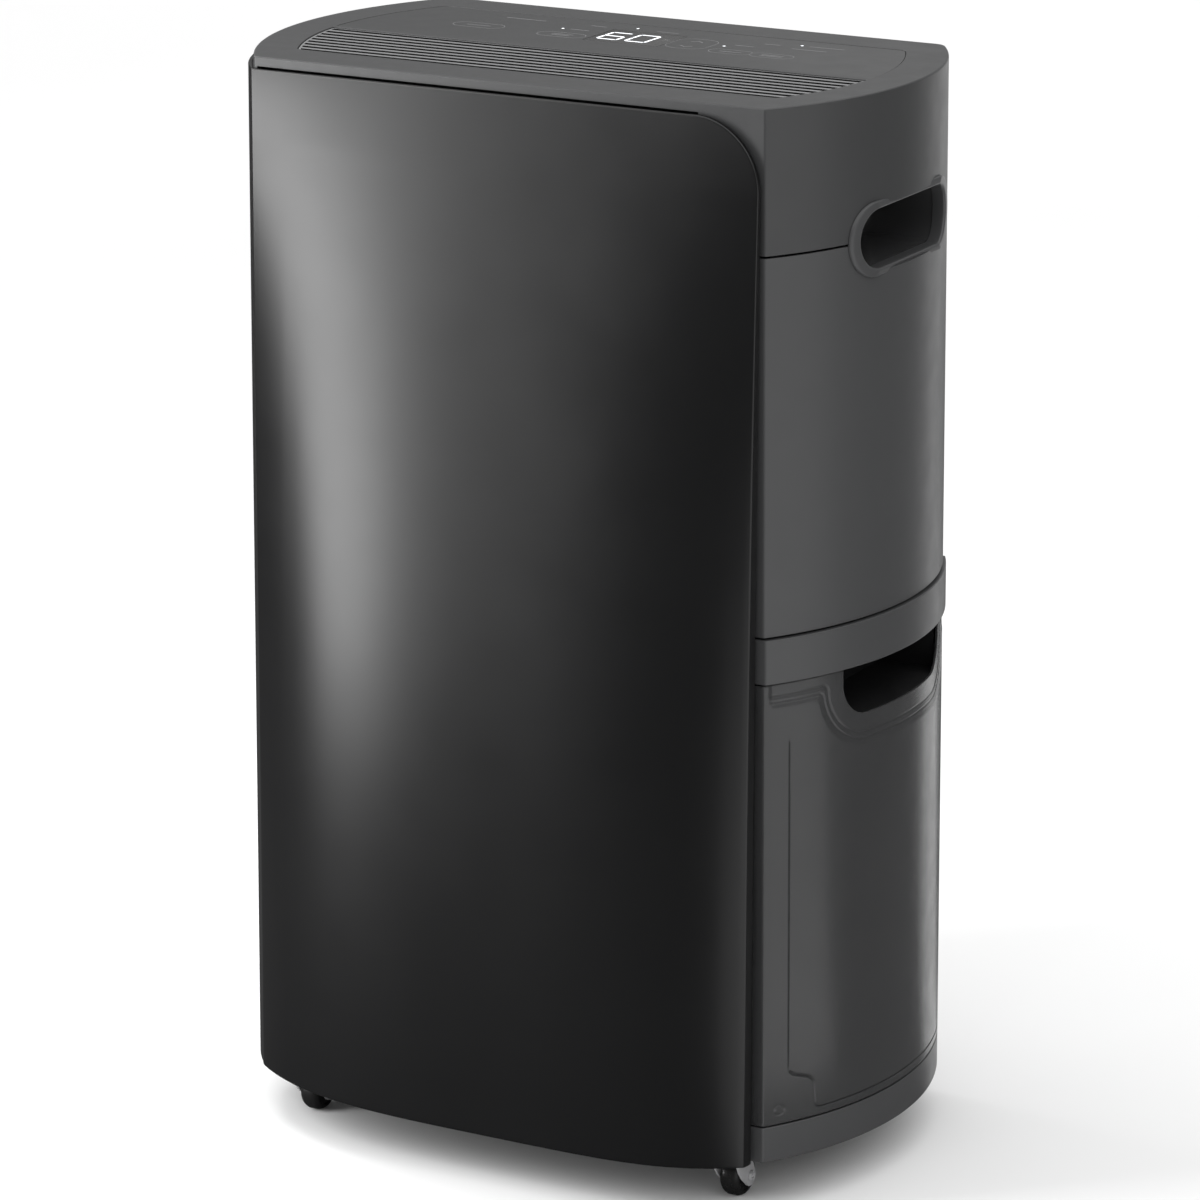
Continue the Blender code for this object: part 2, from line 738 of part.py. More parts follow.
def make_float(m):
    pin_z = BAND_TOP_Z - 0.0010 - 0.0028 - 0.009
    pin_x = 0.033
    cylinder("float_pin", "y", (pin_x, pin_z), 0.0015, -0.0115, 0.0115, m["white"], steps=12)
    block = box("bucket_float", (0.046, -0.020, 0.270), (0.088, 0.020, 0.290), m["white"])
    outline = [(pin_x - 0.003, pin_z + 0.0035), (pin_x - 0.003, pin_z - 0.0035)]
    outline += [(0.047, 0.272), (0.060, 0.272), (0.060, 0.2895), (0.047, 0.2895)]
    outline.append((pin_x + 0.004, pin_z + 0.0035))
    arm = prism("arm", outline, "y", -0.0035, 0.0035, m["white"])
    join(block, arm)
    cut(block, cylinder("bore", "y", (pin_x, pin_z), 0.0017, -0.02, 0.02, m["white"], steps=12))
    return set_origin(block, (pin_x, 0.0, pin_z))


# ---------------------------------------------------------------- inner structure
def make_structure(m):
    low = BASE_TOP_Z + GAP
    inset = WALL + GAP
    box("bay_partition", (0.0060, -0.0980, low), (0.0085, 0.1160, DECK_Z - GAP), m["black"])
    deck = drafted("deck", lambda z: plan(z, inset), DECK_Z, DECK_TOP_Z, m["black"])
    for place in (HOT_HOLE_XY, COLD_HOLE_XY):
        cut(deck, cylinder("hole", "z", place, 0.0075, 0.30, 0.35, m["black"]))
    cut(deck, cylinder("hole", "z", (DRIP_X, DRIP_Y), 0.0070, 0.30, 0.35, m["black"]))
    pan = box("drain_pan", (-0.130, 0.048, DECK_TOP_Z + GAP), (0.130, 0.0905, 0.3455), m["white"])
    cut(pan, box("inside", (-0.128, 0.050, DECK_TOP_Z + 0.0023), (0.128, 0.0885, 0.35), m["white"]))
    join(pan, cylinder("spout", "z", (DRIP_X, DRIP_Y), 0.0060, 0.3232, 0.3300, m["white"]))
    cut(pan, cylinder("bore", "z", (DRIP_X, DRIP_Y), 0.0042, 0.32, 0.34, m["white"]))
    cut(pan, cylinder("bore", "y", DRAIN_XZ, 0.0045, 0.08, 0.10, m["white"]))


def make_drain(m):
    start = 0.0909
    port = [(0.0050, start), (0.0078, start), (0.0078, 0.1193), (0.0105, 0.1193)]
    port += [(0.0105, 0.1215), (0.0070, 0.1215), (0.0070, 0.1310), (0.0050, 0.1310)]
    turned("drain_port", port, "y", DRAIN_XZ, m["black"])
    cap = [(0.0, 0.1314), (0.0074, 0.1314), (0.0074, 0.1220)]
    cap += [(0.0108, 0.1220), (0.0108, 0.1355), (0.0, 0.1365)]
    set_origin(turned("drain_cap", cap, "y", DRAIN_XZ, m["rubber"]), (DRAIN_XZ[0], 0.1290, DRAIN_XZ[1]))


def make_intake(m):
    """The rear grille with the filter cassette that lifts out of its open top."""
    low, top = INTAKE_Z
    half = INTAKE_HALF
    start = BACK_Y + GAP
    wall = 0.0025
    grille = box("rear_grille", (-half, start, low), (half, INTAKE_FACE_Y, top), m["cabinet"])
    face = INTAKE_FACE_Y - wall
    cut(grille, box("slot", (-half + wall, 0.115, low + wall), (half - wall, face, top + 0.01), m["black"]))
    count = 13
    pitch = (top - low - 0.020) / count
    for i in range(count):
        z = low + 0.012 + i * pitch
        cut(grille, box("slot", (-0.120, face - 0.002, z), (0.120, 0.150, z + 0.0075), m["black"]))
    edge = half - wall - 0.0008
    frame_low = low + wall + GAP
    frame_y = (face - 0.0080, face - 0.0006)
    frame = box("filter_frame", (-edge, frame_y[0], frame_low), (edge, frame_y[1], top + 0.002), m["black"])
    border = 0.010
    for left, right in ((-edge + border, -0.003), (0.003, edge - border)):
        inside = box("inside", (left, 0.12, frame_low + border), (right, 0.15, top - border), m["black"])
        cut(frame, inside)
    join(frame, box("tab", (-0.022, frame_y[0], top), (0.022, frame_y[1], top + 0.009), m["black"]))
    mesh_low = (-edge + 0.0040, frame_y[0] - 0.0013, frame_low + 0.0030)
    box("filter_mesh", mesh_low, (edge - 0.0040, frame_y[0] - GAP, top - 0.0030), m["mesh"])


def make_coil(m, name, depth):
    """A finned block between end plates, with the return bends on one end."""
    front, back = depth
    half = COIL_HALF_WIDTH
    step = 0.001
    low, high = (-half, front + step, COIL_LOW_Z + step), (half, back - step, COIL_TOP_Z - step)
    coil = box(name, low, high, m["fins"])
    for x in (-half, half - 0.0015):
        join(coil, box("plate", (x, front, COIL_LOW_Z), (x + 0.0015, back, COIL_TOP_Z), m["fins"]))
    middle = (front + back) / 2
    bends = 4
    pitch = (COIL_TOP_Z - COIL_LOW_Z) / bends
    for i in range(bends):
        z = COIL_LOW_Z + pitch * (i + 0.5)
        join(coil, return_bend((half - 0.0005, middle, z), 0.010, 0.0035, m["fins"]))
    return coil


def return_bend(centre, radius, thickness, material):
    rings = []
    for k in range(5):
        turn = math.pi * k / 4
        out = Vector((math.sin(turn), 0.0, math.cos(turn)))
        middle = Vector(centre) + out * radius
        ring = []
        for i in range(6):
            angle = 2 * math.pi * i / 6
            across = Vector((0, thickness * math.sin(angle), 0))
            ring.append(middle + out * thickness * math.cos(angle) + across)
        rings.append(ring)
    return loft("bend", rings, material)


# ---------------------------------------------------------------- fan
def scroll_outline(top):
    """The air passage of the volute, in X and Z, open at the top."""
    tongue = math.radians(115)
    points = [(0.112, top), (-0.058, top)]
    steps = 16
    for i in range(steps + 1):
        angle = tongue + (2 * math.pi - tongue) * i / steps
        radius = 0.080 + 0.032 * i / steps
        points.append((radius * math.cos(angle), FAN_Z + radius * math.sin(angle)))
    return points


def make_fan(m):
    front, back = SCROLL_Y
    wall = 0.002
    inner = scroll_outline(SCROLL_TOP_Z)
    outer = offset_outline(inner, wall)
    outer = [(x, min(z, SCROLL_TOP_Z)) for x, z in outer]
    scroll = prism("fan_scroll", outer, "y", front, back, m["black"])
    passage = scroll_outline(SCROLL_TOP_Z + 0.01)
    cut(scroll, prism("inside", passage, "y", front + wall, back + 0.001, m["black"]))
    cut(scroll, cylinder("hole", "y", (0.0, FAN_Z), 0.012, front - 0.01, front + 0.01, m["black"]))
    ring = prism("fan_inlet_ring", outer, "y", back + GAP, back + 0.0025, m["black"])
    cut(ring, cylinder("hole", "y", (0.0, FAN_Z), 0.062, 0.0 - 0.02, 0.01, m["black"], steps=24))
    make_duct(m)
    make_fan_wheel(m)
    motor = [(0.0042, -0.0955), (0.030, -0.0955), (0.038, -0.0900), (0.038, -0.0720), (0.030, -0.0665)]
    motor += [(0.0042, -0.0665)]
    turned("fan_motor", motor, "y", (0.0, FAN_Z), m["steel"])
    shaft = cylinder("fan_shaft", "y", (0.0, FAN_Z), 0.0040, -0.0900, -0.0150, m["steel"], steps=12)
    set_origin(shaft, (0.0, -0.050, FAN_Z))


def make_duct(m):
    """The flaring duct from the volute to the outlet grille."""
    wall = 0.002
    low, top = SCROLL_TOP_Z + GAP, TOP_Z - 0.0050

    def solid(name, grow, low_z, top_z):
        front, back = SCROLL_Y
        left, right = -0.058 - grow, 0.112 + grow
        low_ring = [(left, front), (right, front), (right, back), (left, back)]
        if grow == 0.0:
            low_ring = [(x, y + (wall if y == front else -wall)) for x, y in low_ring]
        wide = 0.148 + grow
        top_front, top_back = GRILLE_FRONT_Y - grow + 0.004, GRILLE_BACK_Y + grow - 0.004
        top_ring = [(-wide, top_front), (wide, top_front), (wide, top_back), (-wide, top_back)]
        rings = [[(x, y, low_z) for x, y in low_ring], [(x, y, top_z) for x, y in top_ring]]
        return loft(name, rings, m["black"])

    duct = solid("outlet_duct", wall, low, top)
    return cut(duct, solid("inside", 0.0, low - 0.0005, top + 0.0005))


def make_fan_wheel(m):
    """A forward-curved blower wheel: back plate with hub, blades, and a ring at the inlet."""
    front, back = -0.0580, -0.0120
    plate = 0.0020
    profile = [(0.0041, front), (FAN_RADIUS, front), (FAN_RADIUS, front + plate), (0.012, front + plate)]
    profile += [(0.012, front + 0.024), (0.0041, front + 0.024)]
    wheel = turned("fan_wheel", profile, "y", (0.0, FAN_Z), m["black"], steps=20)
    ring = [(0.066, back - 0.003), (FAN_RADIUS, back - 0.003), (FAN_RADIUS, back), (0.066, back)]
    blades = 16
    for k in range(blades):
        start = 2 * math.pi * k / blades
        inner_edge = []
        outer_edge = []
        for i in range(2):
            radius = 0.064 + 0.0092 * i
            angle = start + 0.10 * i
            half = 0.0008 / radius
            inner_edge.append((radius * math.cos(angle - half), FAN_Z + radius * math.sin(angle - half)))
            outer_edge.append((radius * math.cos(angle + half), FAN_Z + radius * math.sin(angle + half)))
        outline = inner_edge + outer_edge[::-1]
        blade = prism("blade", outline, "y", front + plate / 2, back - 0.001, m["black"])
        join(wheel, blade)
    join(wheel, turned("ring", ring, "y", (0.0, FAN_Z), m["black"], steps=20))
    return set_origin(wheel, (0.0, -0.035, FAN_Z))


# ---------------------------------------------------------------- refrigeration and electrics
def make_compressor(m):
    x, y = COMPRESSOR_XY
    r = COMPRESSOR_RADIUS
    profile = [(0.0, 0.0555), (r - 0.012, 0.0555), (r - 0.003, 0.0610), (r, 0.0700), (r, 0.2350)]
    profile += [(r - 0.005, 0.2480), (r - 0.018, 0.2570), (0.018, 0.2610), (0.0, 0.2610)]
    compressor = turned("compressor", profile, "z", COMPRESSOR_XY, m["enamel"], steps=20)
    feet = compressor_feet()
    outline = []
    for fx, fy in feet:
        outward = math.atan2(fy - y, fx - x)
        for i in range(5):
            angle = outward + math.pi * (i / 4 - 0.5)
            outline.append((fx + 0.011 * math.cos(angle), fy + 0.011 * math.sin(angle)))
    join(compressor, prism("plate", outline, "z", 0.0530, 0.0565, m["enamel"]))
    for number, foot in enumerate(feet, 1):
        grommet = [(0.0, BASE_TOP_Z + GAP), (0.0090, BASE_TOP_Z + GAP), (0.0090, 0.0450)]
        grommet += [(0.0070, 0.0470), (0.0090, 0.0527), (0.0, 0.0527)]
        turned(f"compressor_grommet_{number}", grommet, "z", foot, m["rubber"], steps=12)
    tank = [(0.0, 0.100), (0.010, 0.100), (0.015, 0.108), (0.015, 0.192), (0.010, 0.200), (0.0, 0.200)]
    turned("suction_accumulator", tank, "z", (-0.109, -0.040), m["enamel"])


def compressor_feet():
    x, y = COMPRESSOR_XY
    reach = 0.060
    turns = [math.radians(angle) for angle in (100, 220, 340)]
    return [(x + reach * math.cos(a), y + reach * math.sin(a)) for a in turns]


def make_pipes(m):
    x, y = COMPRESSOR_XY
    end = -COIL_HALF_WIDTH - GAP
    condenser = sum(CONDENSER_Y) / 2
    evaporator = sum(EVAPORATOR_Y) / 2
    hot = [(x, y, 0.2615), (x, y, 0.278), (-0.110, y, 0.295), (-0.140, y, 0.303), (-0.150, y, 0.315)]
    hot += [(-0.151, 0.030, 0.335), (-0.151, 0.029, 0.440), (-0.147, condenser, 0.472)]
    hot += [(-0.138, condenser, 0.480), (end, condenser, 0.480)]
    tube("discharge_pipe", hot, 0.0035, m["copper"])
    cold = [(-0.109, -0.040, 0.2005), (-0.109, -0.040, 0.225), (-0.140, -0.030, 0.245)]
    cold += [(-0.165, 0.010, 0.262)]
    cold += [(-0.168, 0.045, 0.285), (-0.162, 0.062, 0.312), (-0.160, 0.065, 0.335), (-0.157, 0.067, 0.380)]
    cold += [(-0.146, evaporator, 0.406), (-0.138, evaporator, 0.410), (end, evaporator, 0.410)]
    tube("suction_pipe", cold, 0.0045, m["copper"])
    small = [(end, condenser, 0.372), (-0.133, condenser, 0.372), (-0.139, 0.048, 0.368)]
    small += [(-0.133, evaporator, 0.372), (end, evaporator, 0.372)]
    tube("capillary_tube", small, 0.0015, m["copper"])


def make_electrics(m):
    box("power_box", (-0.150, -0.0982, 0.1950), (-0.020, -0.0640, 0.2950), m["steel"])
    can = [(0.0, 0.1200), (0.015, 0.1200), (0.015, 0.1947), (0.0, 0.1947)]
    turned("run_capacitor", can, "z", (-0.060, -0.081), m["steel"])
    high = [low + size for low, size in zip(SENSOR_LOW, (0.020, 0.0082, 0.025))]
    box("humidity_sensor", SENSOR_LOW, high, m["white"])
    gland = [(0.0040, 0.1100), (0.0098, 0.1100), (0.0098, 0.1193), (0.0130, 0.1193), (0.0130, 0.1225)]
    gland += [(0.0075, 0.1300), (0.0040, 0.1300)]
    turned("cord_gland", gland, "y", GLAND_XZ, m["rubber"])


# ---------------------------------------------------------------- casters
def caster_places():
    return [(side * CASTER_X, y) for y in (CASTER_FRONT_Y, CASTER_BACK_Y) for side in (-1, 1)]


def make_caster(m, word, place):
    x, y = place
    axle_y = y + TRAIL
    plate_z = FORK_PLATE_Z
    stem_top = BASE_TOP_Z + CABINET_LIFT - GAP
    cheek_x = WHEEL_HALF + 0.0010
    cheek = 0.0014
    fork = box(f"caster_fork_{word}", (x - cheek_x - cheek, y - 0.008, plate_z[0]),
               (x + cheek_x + cheek, y + 0.009, plate_z[1]), m["steel"])
    outline = [(y - 0.008, plate_z[0] + 0.0008), (y - 0.004, 0.0180)]
    for i in range(7):
        angle = math.radians(205 + 165 * i / 6)
        outline.append((axle_y + 0.0060 * math.cos(angle), WHEEL_RADIUS + 0.0060 * math.sin(angle)))
    outline.append((y + 0.009, plate_z[0] + 0.0008))
    for start in (x - cheek_x - cheek, x + cheek_x):
        join(fork, prism("cheek", outline, "x", start, start + cheek, m["steel"]))
    join(fork, cylinder("stem", "z", place, STEM_RADIUS, plate_z[0] + 0.0005, stem_top, m["steel"]))
    loose = AXLE_RADIUS + 0.0001
    bore = cylinder("bore", "x", (axle_y, WHEEL_RADIUS), loose, x - 0.02, x + 0.02, m["steel"], 12)
    cut(fork, bore)
    set_origin(fork, (x, y, plate_z[1]))
    r = WHEEL_RADIUS
    half = WHEEL_HALF
    profile = [(AXLE_RADIUS + 0.0001, x - half), (0.0105, x - half), (r, x - half + 0.0020)]
    profile += [(r, x + half - 0.0020), (0.0105, x + half), (AXLE_RADIUS + 0.0001, x + half)]
    wheel = turned(f"caster_wheel_{word}", profile, "x", (axle_y, r), m["tyre"], steps=16)
    set_origin(wheel, (x, axle_y, r))
    out = cheek_x + cheek + 0.0002
    head = out + 0.0011
    pin = [(0.0, x - head), (0.0026, x - head), (0.0032, x - out), (AXLE_RADIUS, x - out)]
    pin += [(AXLE_RADIUS, x + out), (0.0032, x + out), (0.0026, x + head), (0.0, x + head)]
    axle = turned(f"caster_axle_{word}", pin, "x", (axle_y, r), m["steel"], steps=12)
    return set_origin(axle, (x, axle_y, r))


# ---------------------------------------------------------------- the whole object
def main():
    clear_scene()
    m = make_materials()
    make_base_pan(m)
    make_side_cover(m, "left_side_cover", -1, BASE_TOP_Z + GAP)
    make_side_cover(m, "right_side_cover", 1, BAND_TOP_Z + SEAM)
    make_rear_cover(m)
    make_front_frame(m)
    make_top_cover(m)
    for word, side in (("right", 1), ("left", -1)):
        make_handle(m, word, side)
    make_front_panel(m)
    make_outlet_grille(m)
    make_controls(m)
    make_tank(m)
    make_rim(m)
    make_lid(m)
    make_float(m)
    make_structure(m)
    make_drain(m)
    make_intake(m)
    make_coil(m, "condenser", CONDENSER_Y)
    make_coil(m, "evaporator", EVAPORATOR_Y)
    make_fan(m)
    make_compressor(m)
    make_pipes(m)
    make_electrics(m)
    words = ("front_left", "front_right", "rear_left", "rear_right")
    for word, place in zip(words, caster_places()):
        make_caster(m, word, place)
    for thing in bpy.data.objects:
        if not thing.name.startswith("caster_"):
            thing.location.z += CABINET_LIFT


main()
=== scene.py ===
"""Looks of the portable dehumidifier: finer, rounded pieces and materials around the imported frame.

Metres, +Z up, the front faces -Y. Every piece sits where its CAD node sits and rides on that node's body.
"""

import json
import math

import bmesh
import bpy
from mathutils import Matrix, Vector

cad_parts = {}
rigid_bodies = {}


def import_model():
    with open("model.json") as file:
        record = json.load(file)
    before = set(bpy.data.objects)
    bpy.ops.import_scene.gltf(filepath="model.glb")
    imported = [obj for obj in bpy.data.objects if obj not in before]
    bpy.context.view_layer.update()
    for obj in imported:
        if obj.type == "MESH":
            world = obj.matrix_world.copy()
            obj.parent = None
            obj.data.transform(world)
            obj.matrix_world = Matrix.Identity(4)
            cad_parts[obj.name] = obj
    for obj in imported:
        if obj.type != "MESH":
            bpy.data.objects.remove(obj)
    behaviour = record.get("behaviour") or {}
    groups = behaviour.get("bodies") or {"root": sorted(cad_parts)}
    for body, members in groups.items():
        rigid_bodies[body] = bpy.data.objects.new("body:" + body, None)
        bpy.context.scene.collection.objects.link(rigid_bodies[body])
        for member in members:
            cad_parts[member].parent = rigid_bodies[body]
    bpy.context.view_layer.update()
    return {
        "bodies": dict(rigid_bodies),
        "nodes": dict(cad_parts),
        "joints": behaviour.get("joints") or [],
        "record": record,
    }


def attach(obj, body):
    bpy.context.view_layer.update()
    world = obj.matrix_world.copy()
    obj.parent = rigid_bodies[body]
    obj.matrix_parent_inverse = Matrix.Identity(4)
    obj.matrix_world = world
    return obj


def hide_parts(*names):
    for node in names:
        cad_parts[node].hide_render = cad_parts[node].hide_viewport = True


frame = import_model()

NODES = frame["nodes"]
SLOT_OF = {entry["node"]: entry["material_slot"] for entry in frame["record"]["subparts"]}

# ---------------------------------------------------------------- dimensions shared with the CAD
GAP = 0.0003
SEAM = 0.0012
WALL = 0.0025
FRONT_Y = -0.101
BACK_Y = 0.119
MID_Y = (FRONT_Y + BACK_Y) / 2
HALF_WIDTH_TOP = 0.1603
DRAFT = 0.006
BULGE = 0.0345
HALF_DEPTH = (BACK_Y - FRONT_Y) / 2
ARC_RADIUS = (HALF_DEPTH**2 + BULGE**2) / (2 * BULGE)
REAR_SEAM_Y = 0.105
REAR_ROUND = 0.010
FRONT_ROUND = 0.0022
BASE_Z = 0.017
BASE_TOP_Z = 0.0379
TANK_TOP_Z = 0.2957
BAND_LOW_Z = 0.2965
BAND_TOP_Z = 0.3217
UPPER_SEAM_Z = 0.5345
TOP_Z = 0.6153
SURFACE_Z = TOP_Z - 0.0002  # the control surface
PRINT = 0.00004  # how thick its ink is
HANDLE_Z = 0.5348
TANK_INNER_X = 0.012
TANK_FRONT_Y = -0.0965
TANK_BACK_Y = 0.104
TANK_WALL = 0.0024
CORNER_RETURN = 0.012
NOTCH_HALF = 0.060
NOTCH_LOW_Z = 0.267
NOTCH_RADIUS = 0.020
RIM_INSET = 0.024
GRILLE_FRONT_Y = -0.070
GRILLE_BACK_Y = 0.000
GRILLE_GAPS = 9
TOUCH_YS = (0.0045, 0.0910)
FAN_Z = 0.447
ARC_STEPS = 44
CABINET_LIFT = 0.012  # all cabinet heights are above its own datum, which is this far above the floor
CASTER_X = 0.139
CASTER_YS = {"front": -0.092, "rear": 0.080}
WHEEL_RADIUS = 0.0125
DRAIN_XZ = (0.100, 0.338)
GLAND_XZ = (-0.120, 0.075)
SCREW_XZ = ((-0.120, 0.300), (0.120, 0.060), (0.120, 0.300))
COMPRESSOR_XY = (-0.085, 0.030)
ACCUMULATOR_XY = (-0.109, -0.040)


# ---------------------------------------------------------------- mesh helpers
def linked(name, data):
    thing = bpy.data.objects.new(name, data)
    bpy.context.scene.collection.objects.link(thing)
    return thing


def new_object(name, work):
    mesh = bpy.data.meshes.new(name)
    bmesh.ops.recalc_face_normals(work, faces=work.faces)
    work.to_mesh(mesh)
    work.free()
    return linked(name, mesh)


def loft(name, rings, caps=True, closed=False):
    """A solid through rings of equal point count. closed joins the last ring to the first."""
    work = bmesh.new()
    rows = [[work.verts.new(point) for point in ring] for ring in rings]
    pairs = list(zip(rows, rows[1:]))
    if closed:
        pairs.append((rows[-1], rows[0]))
    for low, high in pairs:
        for i in range(len(low)):
            j = (i + 1) % len(low)
            work.faces.new((low[i], low[j], high[j], high[i]))
    if caps and not closed:
        work.faces.new(list(reversed(rows[0])))
        work.faces.new(rows[-1])
    return new_object(name, work)


def along(axis, across, up, place):
    if axis == "x":
        return (place, across, up)
    if axis == "y":
        return (across, place, up)
    return (across, up, place)


def prism(name, outline, axis, start, end):
    return loft(name, [[along(axis, a, b, place) for a, b in outline] for place in (start, end)])


def slab(name, outline_at, low, high, round_low=0.0, round_high=0.0, steps=3):
    """A solid between two heights with rounded edges. outline_at takes a height and an inset."""
    levels = []
    for k in range(steps + 1 if round_low else 1):
        turn = math.pi / 2 * k / steps
        levels.append((low + round_low * (1 - math.cos(turn)), round_low * (1 - math.sin(turn))))
    for k in range(steps + 1 if round_high else 1):
        turn = math.pi / 2 * (1 - k / steps)
        levels.append((high - round_high * (1 - math.cos(turn)), round_high * (1 - math.sin(turn))))
    return loft(name, [[(x, y, z) for x, y in outline_at(z, inset)] for z, inset in levels])


def box(name, low, high):
    outline = [(low[0], low[1]), (high[0], low[1]), (high[0], high[1]), (low[0], high[1])]
    return prism(name, outline, "z", low[2], high[2])


def circle(centre, radius, steps=32):
    turns = [2 * math.pi * i / steps for i in range(steps)]
    return [(centre[0] + radius * math.cos(a), centre[1] + radius * math.sin(a)) for a in turns]


def cylinder(name, axis, centre, radius, start, end, steps=32):
    return prism(name, circle(centre, radius, steps), axis, start, end)


def turned(name, profile, axis, centre, steps=48):
    """A solid of revolution. The profile is a closed loop of (radius, place along the axis)."""
    rings = []
    for k in range(steps):
        angle = 2 * math.pi * k / steps
        cos, sin = math.cos(angle), math.sin(angle)
        rings.append([along(axis, centre[0] + r * cos, centre[1] + r * sin, at) for r, at in profile])
    return weld(loft(name, rings, closed=True))


def weld(thing, distance=1e-6):
    work = bmesh.new()
    work.from_mesh(thing.data)
    bmesh.ops.remove_doubles(work, verts=work.verts, dist=distance)
    bmesh.ops.dissolve_degenerate(work, edges=work.edges, dist=distance)
    bmesh.ops.recalc_face_normals(work, faces=work.faces)
    work.to_mesh(thing.data)
    work.free()
    return thing


def combine(target, tool, operation):
    modifier = target.modifiers.new("combine", "BOOLEAN")
    modifier.operation = operation
    modifier.solver = "EXACT"
    modifier.object = tool
    apply_modifiers(target)
    bpy.data.objects.remove(tool)
    return target


def apply_modifiers(thing):
    graph = bpy.context.evaluated_depsgraph_get()
    mesh = bpy.data.meshes.new_from_object(thing.evaluated_get(graph))
    thing.modifiers.clear()
    thing.data = mesh
    return thing


def cut(target, *tools):
    for tool in tools:
        combine(target, tool, "DIFFERENCE")
    return target


def join(target, *tools):
    for tool in tools:
        combine(target, tool, "UNION")
    return target


def gather(name, things):
    """Puts several closed bodies into one object."""
    work = bmesh.new()
    for thing in things:
        work.from_mesh(thing.data)
        bpy.data.objects.remove(thing)
    return new_object(name, work)


# ---------------------------------------------------------------- plan outlines, seen from above
def half_width(z):
    return HALF_WIDTH_TOP + DRAFT * (TOP_Z - z)


def arc_centre_x(z):
    return half_width(z) + BULGE - ARC_RADIUS


def side_x(z, y, inset=0.0):
    return arc_centre_x(z) + math.sqrt((ARC_RADIUS - inset) ** 2 - (y - MID_Y) ** 2)


def side_arc(z, inset, from_y, to_y, side=1, steps=ARC_STEPS):
    radius = ARC_RADIUS - inset
    first = math.asin((from_y - MID_Y) / radius)
    last = math.asin((to_y - MID_Y) / radius)
    points = []
    for i in range(steps + 1):
        angle = first + (last - first) * i / steps
        points.append((side * (arc_centre_x(z) + radius * math.cos(angle)), MID_Y + radius * math.sin(angle)))
    return points


def fillet(before, corner, after, radius, steps=6):
    here = Vector(corner)
    towards_before = (Vector(before) - here).normalized()
    towards_after = (Vector(after) - here).normalized()
    half = math.acos(max(-1.0, min(1.0, towards_before.dot(towards_after)))) / 2
    reach = radius / math.tan(half)
    start = here + towards_before * reach
    end = here + towards_after * reach
    centre = here + (towards_before + towards_after).normalized() * radius / math.sin(half)
    points = []
    for i in range(steps + 1):
        chord = start.lerp(end, i / steps) - centre
        points.append(tuple(centre + chord.normalized() * radius))
    return points


def rounded(points, radii, steps=6):
    """The outline with rounds at corners named by index. A round takes in short segments beside it."""
    count = len(points)
    rounds, taken = {}, set()
    for i, radius in radii.items():
        before, after = i - 1, i + 1
        here = Vector(points[i])
        for _ in range(count):
            back, ahead = Vector(points[before]) - here, Vector(points[after % count]) - here
            half = back.angle(ahead) / 2
            reach = radius / math.tan(half)
            if back.length < reach:
                taken.add(before % count)
                before -= 1
            elif ahead.length < reach:
                taken.add(after % count)
                after += 1
            else:
                break
        extra = after - before - 2
        rounds[i] = fillet(points[before], points[i], points[after % count], radius, steps + extra)
    result = []
    for i, point in enumerate(points):
        if i in rounds:
            result += rounds[i]
        elif i not in taken:
            result.append(point)
    return result


def plan(z, inset=0.0):
    """The cabinet's outline: straight front and back, bowed sides, round rear corners."""
    right = side_arc(z, inset, FRONT_Y + inset, BACK_Y - inset)
    left = side_arc(z, inset, BACK_Y - inset, FRONT_Y + inset, side=-1)
    front_round = max(FRONT_ROUND - inset, GAP)
    back_round = max(REAR_ROUND - inset, GAP)
    last = len(right) - 1
    rounds = {0: front_round, last: back_round, last + 1: back_round, 2 * last + 1: front_round}
    return rounded(right + left, rounds)


def side_region(z, inset, inner_x, from_y, to_y, side=1):
    return [(side * inner_x, from_y), *side_arc(z, inset, from_y, to_y, side), (side * inner_x, to_y)]


def across_region(z, inset, from_y, to_y):
    return side_arc(z, inset, from_y, to_y) + side_arc(z, inset, to_y, from_y, side=-1)


def pill(centre, length, height, steps=16):
    radius = height / 2
    reach = length / 2 - radius
    points = []
    for sign, start in ((1, -math.pi / 2), (-1, math.pi / 2)):
        for i in range(steps + 1):
            angle = start + math.pi * i / steps
            x = centre[0] + sign * reach + radius * math.cos(angle)
            points.append((x, centre[1] + radius * math.sin(angle)))
    return points


def grown(points, distance):
    """The outline moved outwards by mitred corners, whichever way it winds."""
    if distance == 0:
        return list(points)
    area = 0.0
    for i, point in enumerate(points):
        before = points[i - 1]
        area += before[0] * point[1] - point[0] * before[1]
    sign = 1 if area > 0 else -1
    moved = []
    for i, point in enumerate(points):
        here = Vector(point)
        arriving = (here - Vector(points[i - 1])).normalized()
        leaving = (Vector(points[(i + 1) % len(points)]) - here).normalized()
        first = Vector((arriving.y, -arriving.x))
        second = Vector((leaving.y, -leaving.x))
        middle = (first + second).normalized()
        moved.append(tuple(here + middle * sign * distance / max(middle.dot(first), 0.5)))
    return moved


# ---------------------------------------------------------------- surface finish of a mesh
def wall_normal(place):
    """The bowed side's own outward normal near this point, or None away from it."""
    side = 1 if place.x > 0 else -1
    off = place.y - MID_Y
    if abs(off) > HALF_DEPTH - 0.0005:
        return None
    depth = math.sqrt(ARC_RADIUS**2 - off**2)
    if abs(abs(place.x) - arc_centre_x(place.z) - depth) > 4e-5:
        return None
    return Vector((side, off / depth, DRAFT)).normalized()


